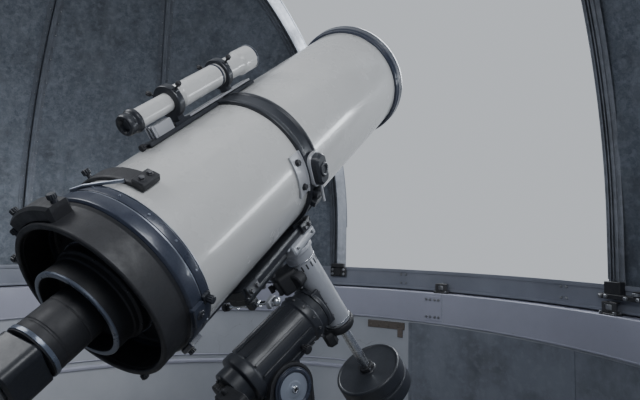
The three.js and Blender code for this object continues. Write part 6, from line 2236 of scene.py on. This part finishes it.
@dataclass
class Studio:
    """Floor, sky tone, soft lights and the photo's camera."""

    sky: Triple = (0.62, 0.655, 0.70)
    sky_strength: float = 0.9
    ground: Triple = (0.60, 0.60, 0.59)
    ground_radius: float = 13500.0
    ground_roughness: float = 0.85
    clip: tuple[float, float] = (0.02, 200.0)
    sensor: float = 36.0
    lens: float = 28.125
    eye: Triple = (-1.9458, 1.0974, 2.7072)
    right: Triple = (-0.7180, -0.6958, 0.0179)
    up: Triple = (-0.0429, 0.0699, 0.9966)
    back: Triple = (-0.6947, 0.7148, -0.0800)
    lamps: tuple[Lamp, ...] = (
        Lamp("fill_behind", (-2.05, 0.55, 3.75), (0.3, -1.0, 2.4), (0.9, 0.9), 22.0, (0.93, 0.96, 1.0)),
        Lamp("key_over", (0.2, 1.5, 4.3), (0.0, -1.2, 2.6), (1.4, 0.8), 26.0, (0.95, 0.97, 1.0)),
        Lamp("slit_glow", (0.3, -3.4, 5.2), (0.0, 0.2, 2.2), (1.9, 1.9), 140.0, (0.92, 0.96, 1.0)),
        Lamp(
            "tube_streak", (-1.62, -1.4, 3.2), (-0.8, 0.1, 2.9), (1.3, 0.14), 9.0, (0.88, 0.94, 1.0),
            long_side=(0.83, -0.28, 0.85),
        ),
        Lamp("outside_left", (-9.0, -9.0, 9.0), (0.0, 0.0, 2.0), (6.0, 6.0), 900.0),
        Lamp("outside_right", (10.0, 4.0, 8.0), (0.0, 0.0, 2.0), (7.0, 7.0), 600.0),
    )

    def build(self) -> None:
        """Lights, floor and camera."""
        world = bpy.data.worlds.new("studio_sky")
        bpy.context.scene.world = world
        world.use_nodes = True
        background = world.node_tree.nodes["Background"]
        background.inputs["Color"].default_value = (*self.sky, 1.0)
        background.inputs["Strength"].default_value = self.sky_strength
        for lamp in self.lamps:
            lamp.hang()
        self._floor()
        self._camera()

    def _floor(self) -> None:
        """A pale round floor just under the building."""
        r = self.ground_radius
        disc = spindle([(r - 40, -60), (r, -40), (r, -16), (r - 20, -3)], 128)
        floor = bpy.data.objects.new("studio_floor", mesh_of("studio_floor", disc))
        material = bpy.data.materials.new("studio_floor")
        material.use_nodes = True
        shader = material.node_tree.nodes["Principled BSDF"]
        shader.inputs["Base Color"].default_value = (*self.ground, 1.0)
        shader.inputs["Roughness"].default_value = self.ground_roughness
        floor.data.materials.append(material)
        bpy.context.scene.collection.objects.link(floor)

    def _camera(self) -> None:
        """The photo's camera: inside the dome, behind the telescope, looking a little up at the slit."""
        data = bpy.data.cameras.new("photo_camera")
        data.sensor_width = self.sensor
        data.lens = self.lens
        data.clip_start, data.clip_end = self.clip
        camera = bpy.data.objects.new("photo_camera", data)
        turn = Matrix((self.right, self.up, self.back)).transposed()
        camera.matrix_world = Matrix.Translation(self.eye) @ turn.to_4x4()
        bpy.context.scene.collection.objects.link(camera)
        bpy.context.scene.camera = camera


GROUPS = (
    Drum,
    TrackRing,
    DomeSkin,
    SlitFrame,
    Shutters,
    PierUnit,
    PolarUnit,
    DeclinationUnit,
    TubeUnit,
    CradleUnit,
    FinderUnit,
    FocuserUnit,
)


def main() -> None:
    """Loads the frame, builds every group, logs its face and piece counts and finishes the scene."""
    logging.basicConfig(level=logging.INFO, format="%(message)s")
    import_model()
    effects = Effects()
    for group in GROUPS:
        assembly = group(effects)
        assembly.build()
        log.info("%s: %d pieces", group.__name__, len(assembly.made))
    Studio().build()


if __name__ == "__main__":
    main()
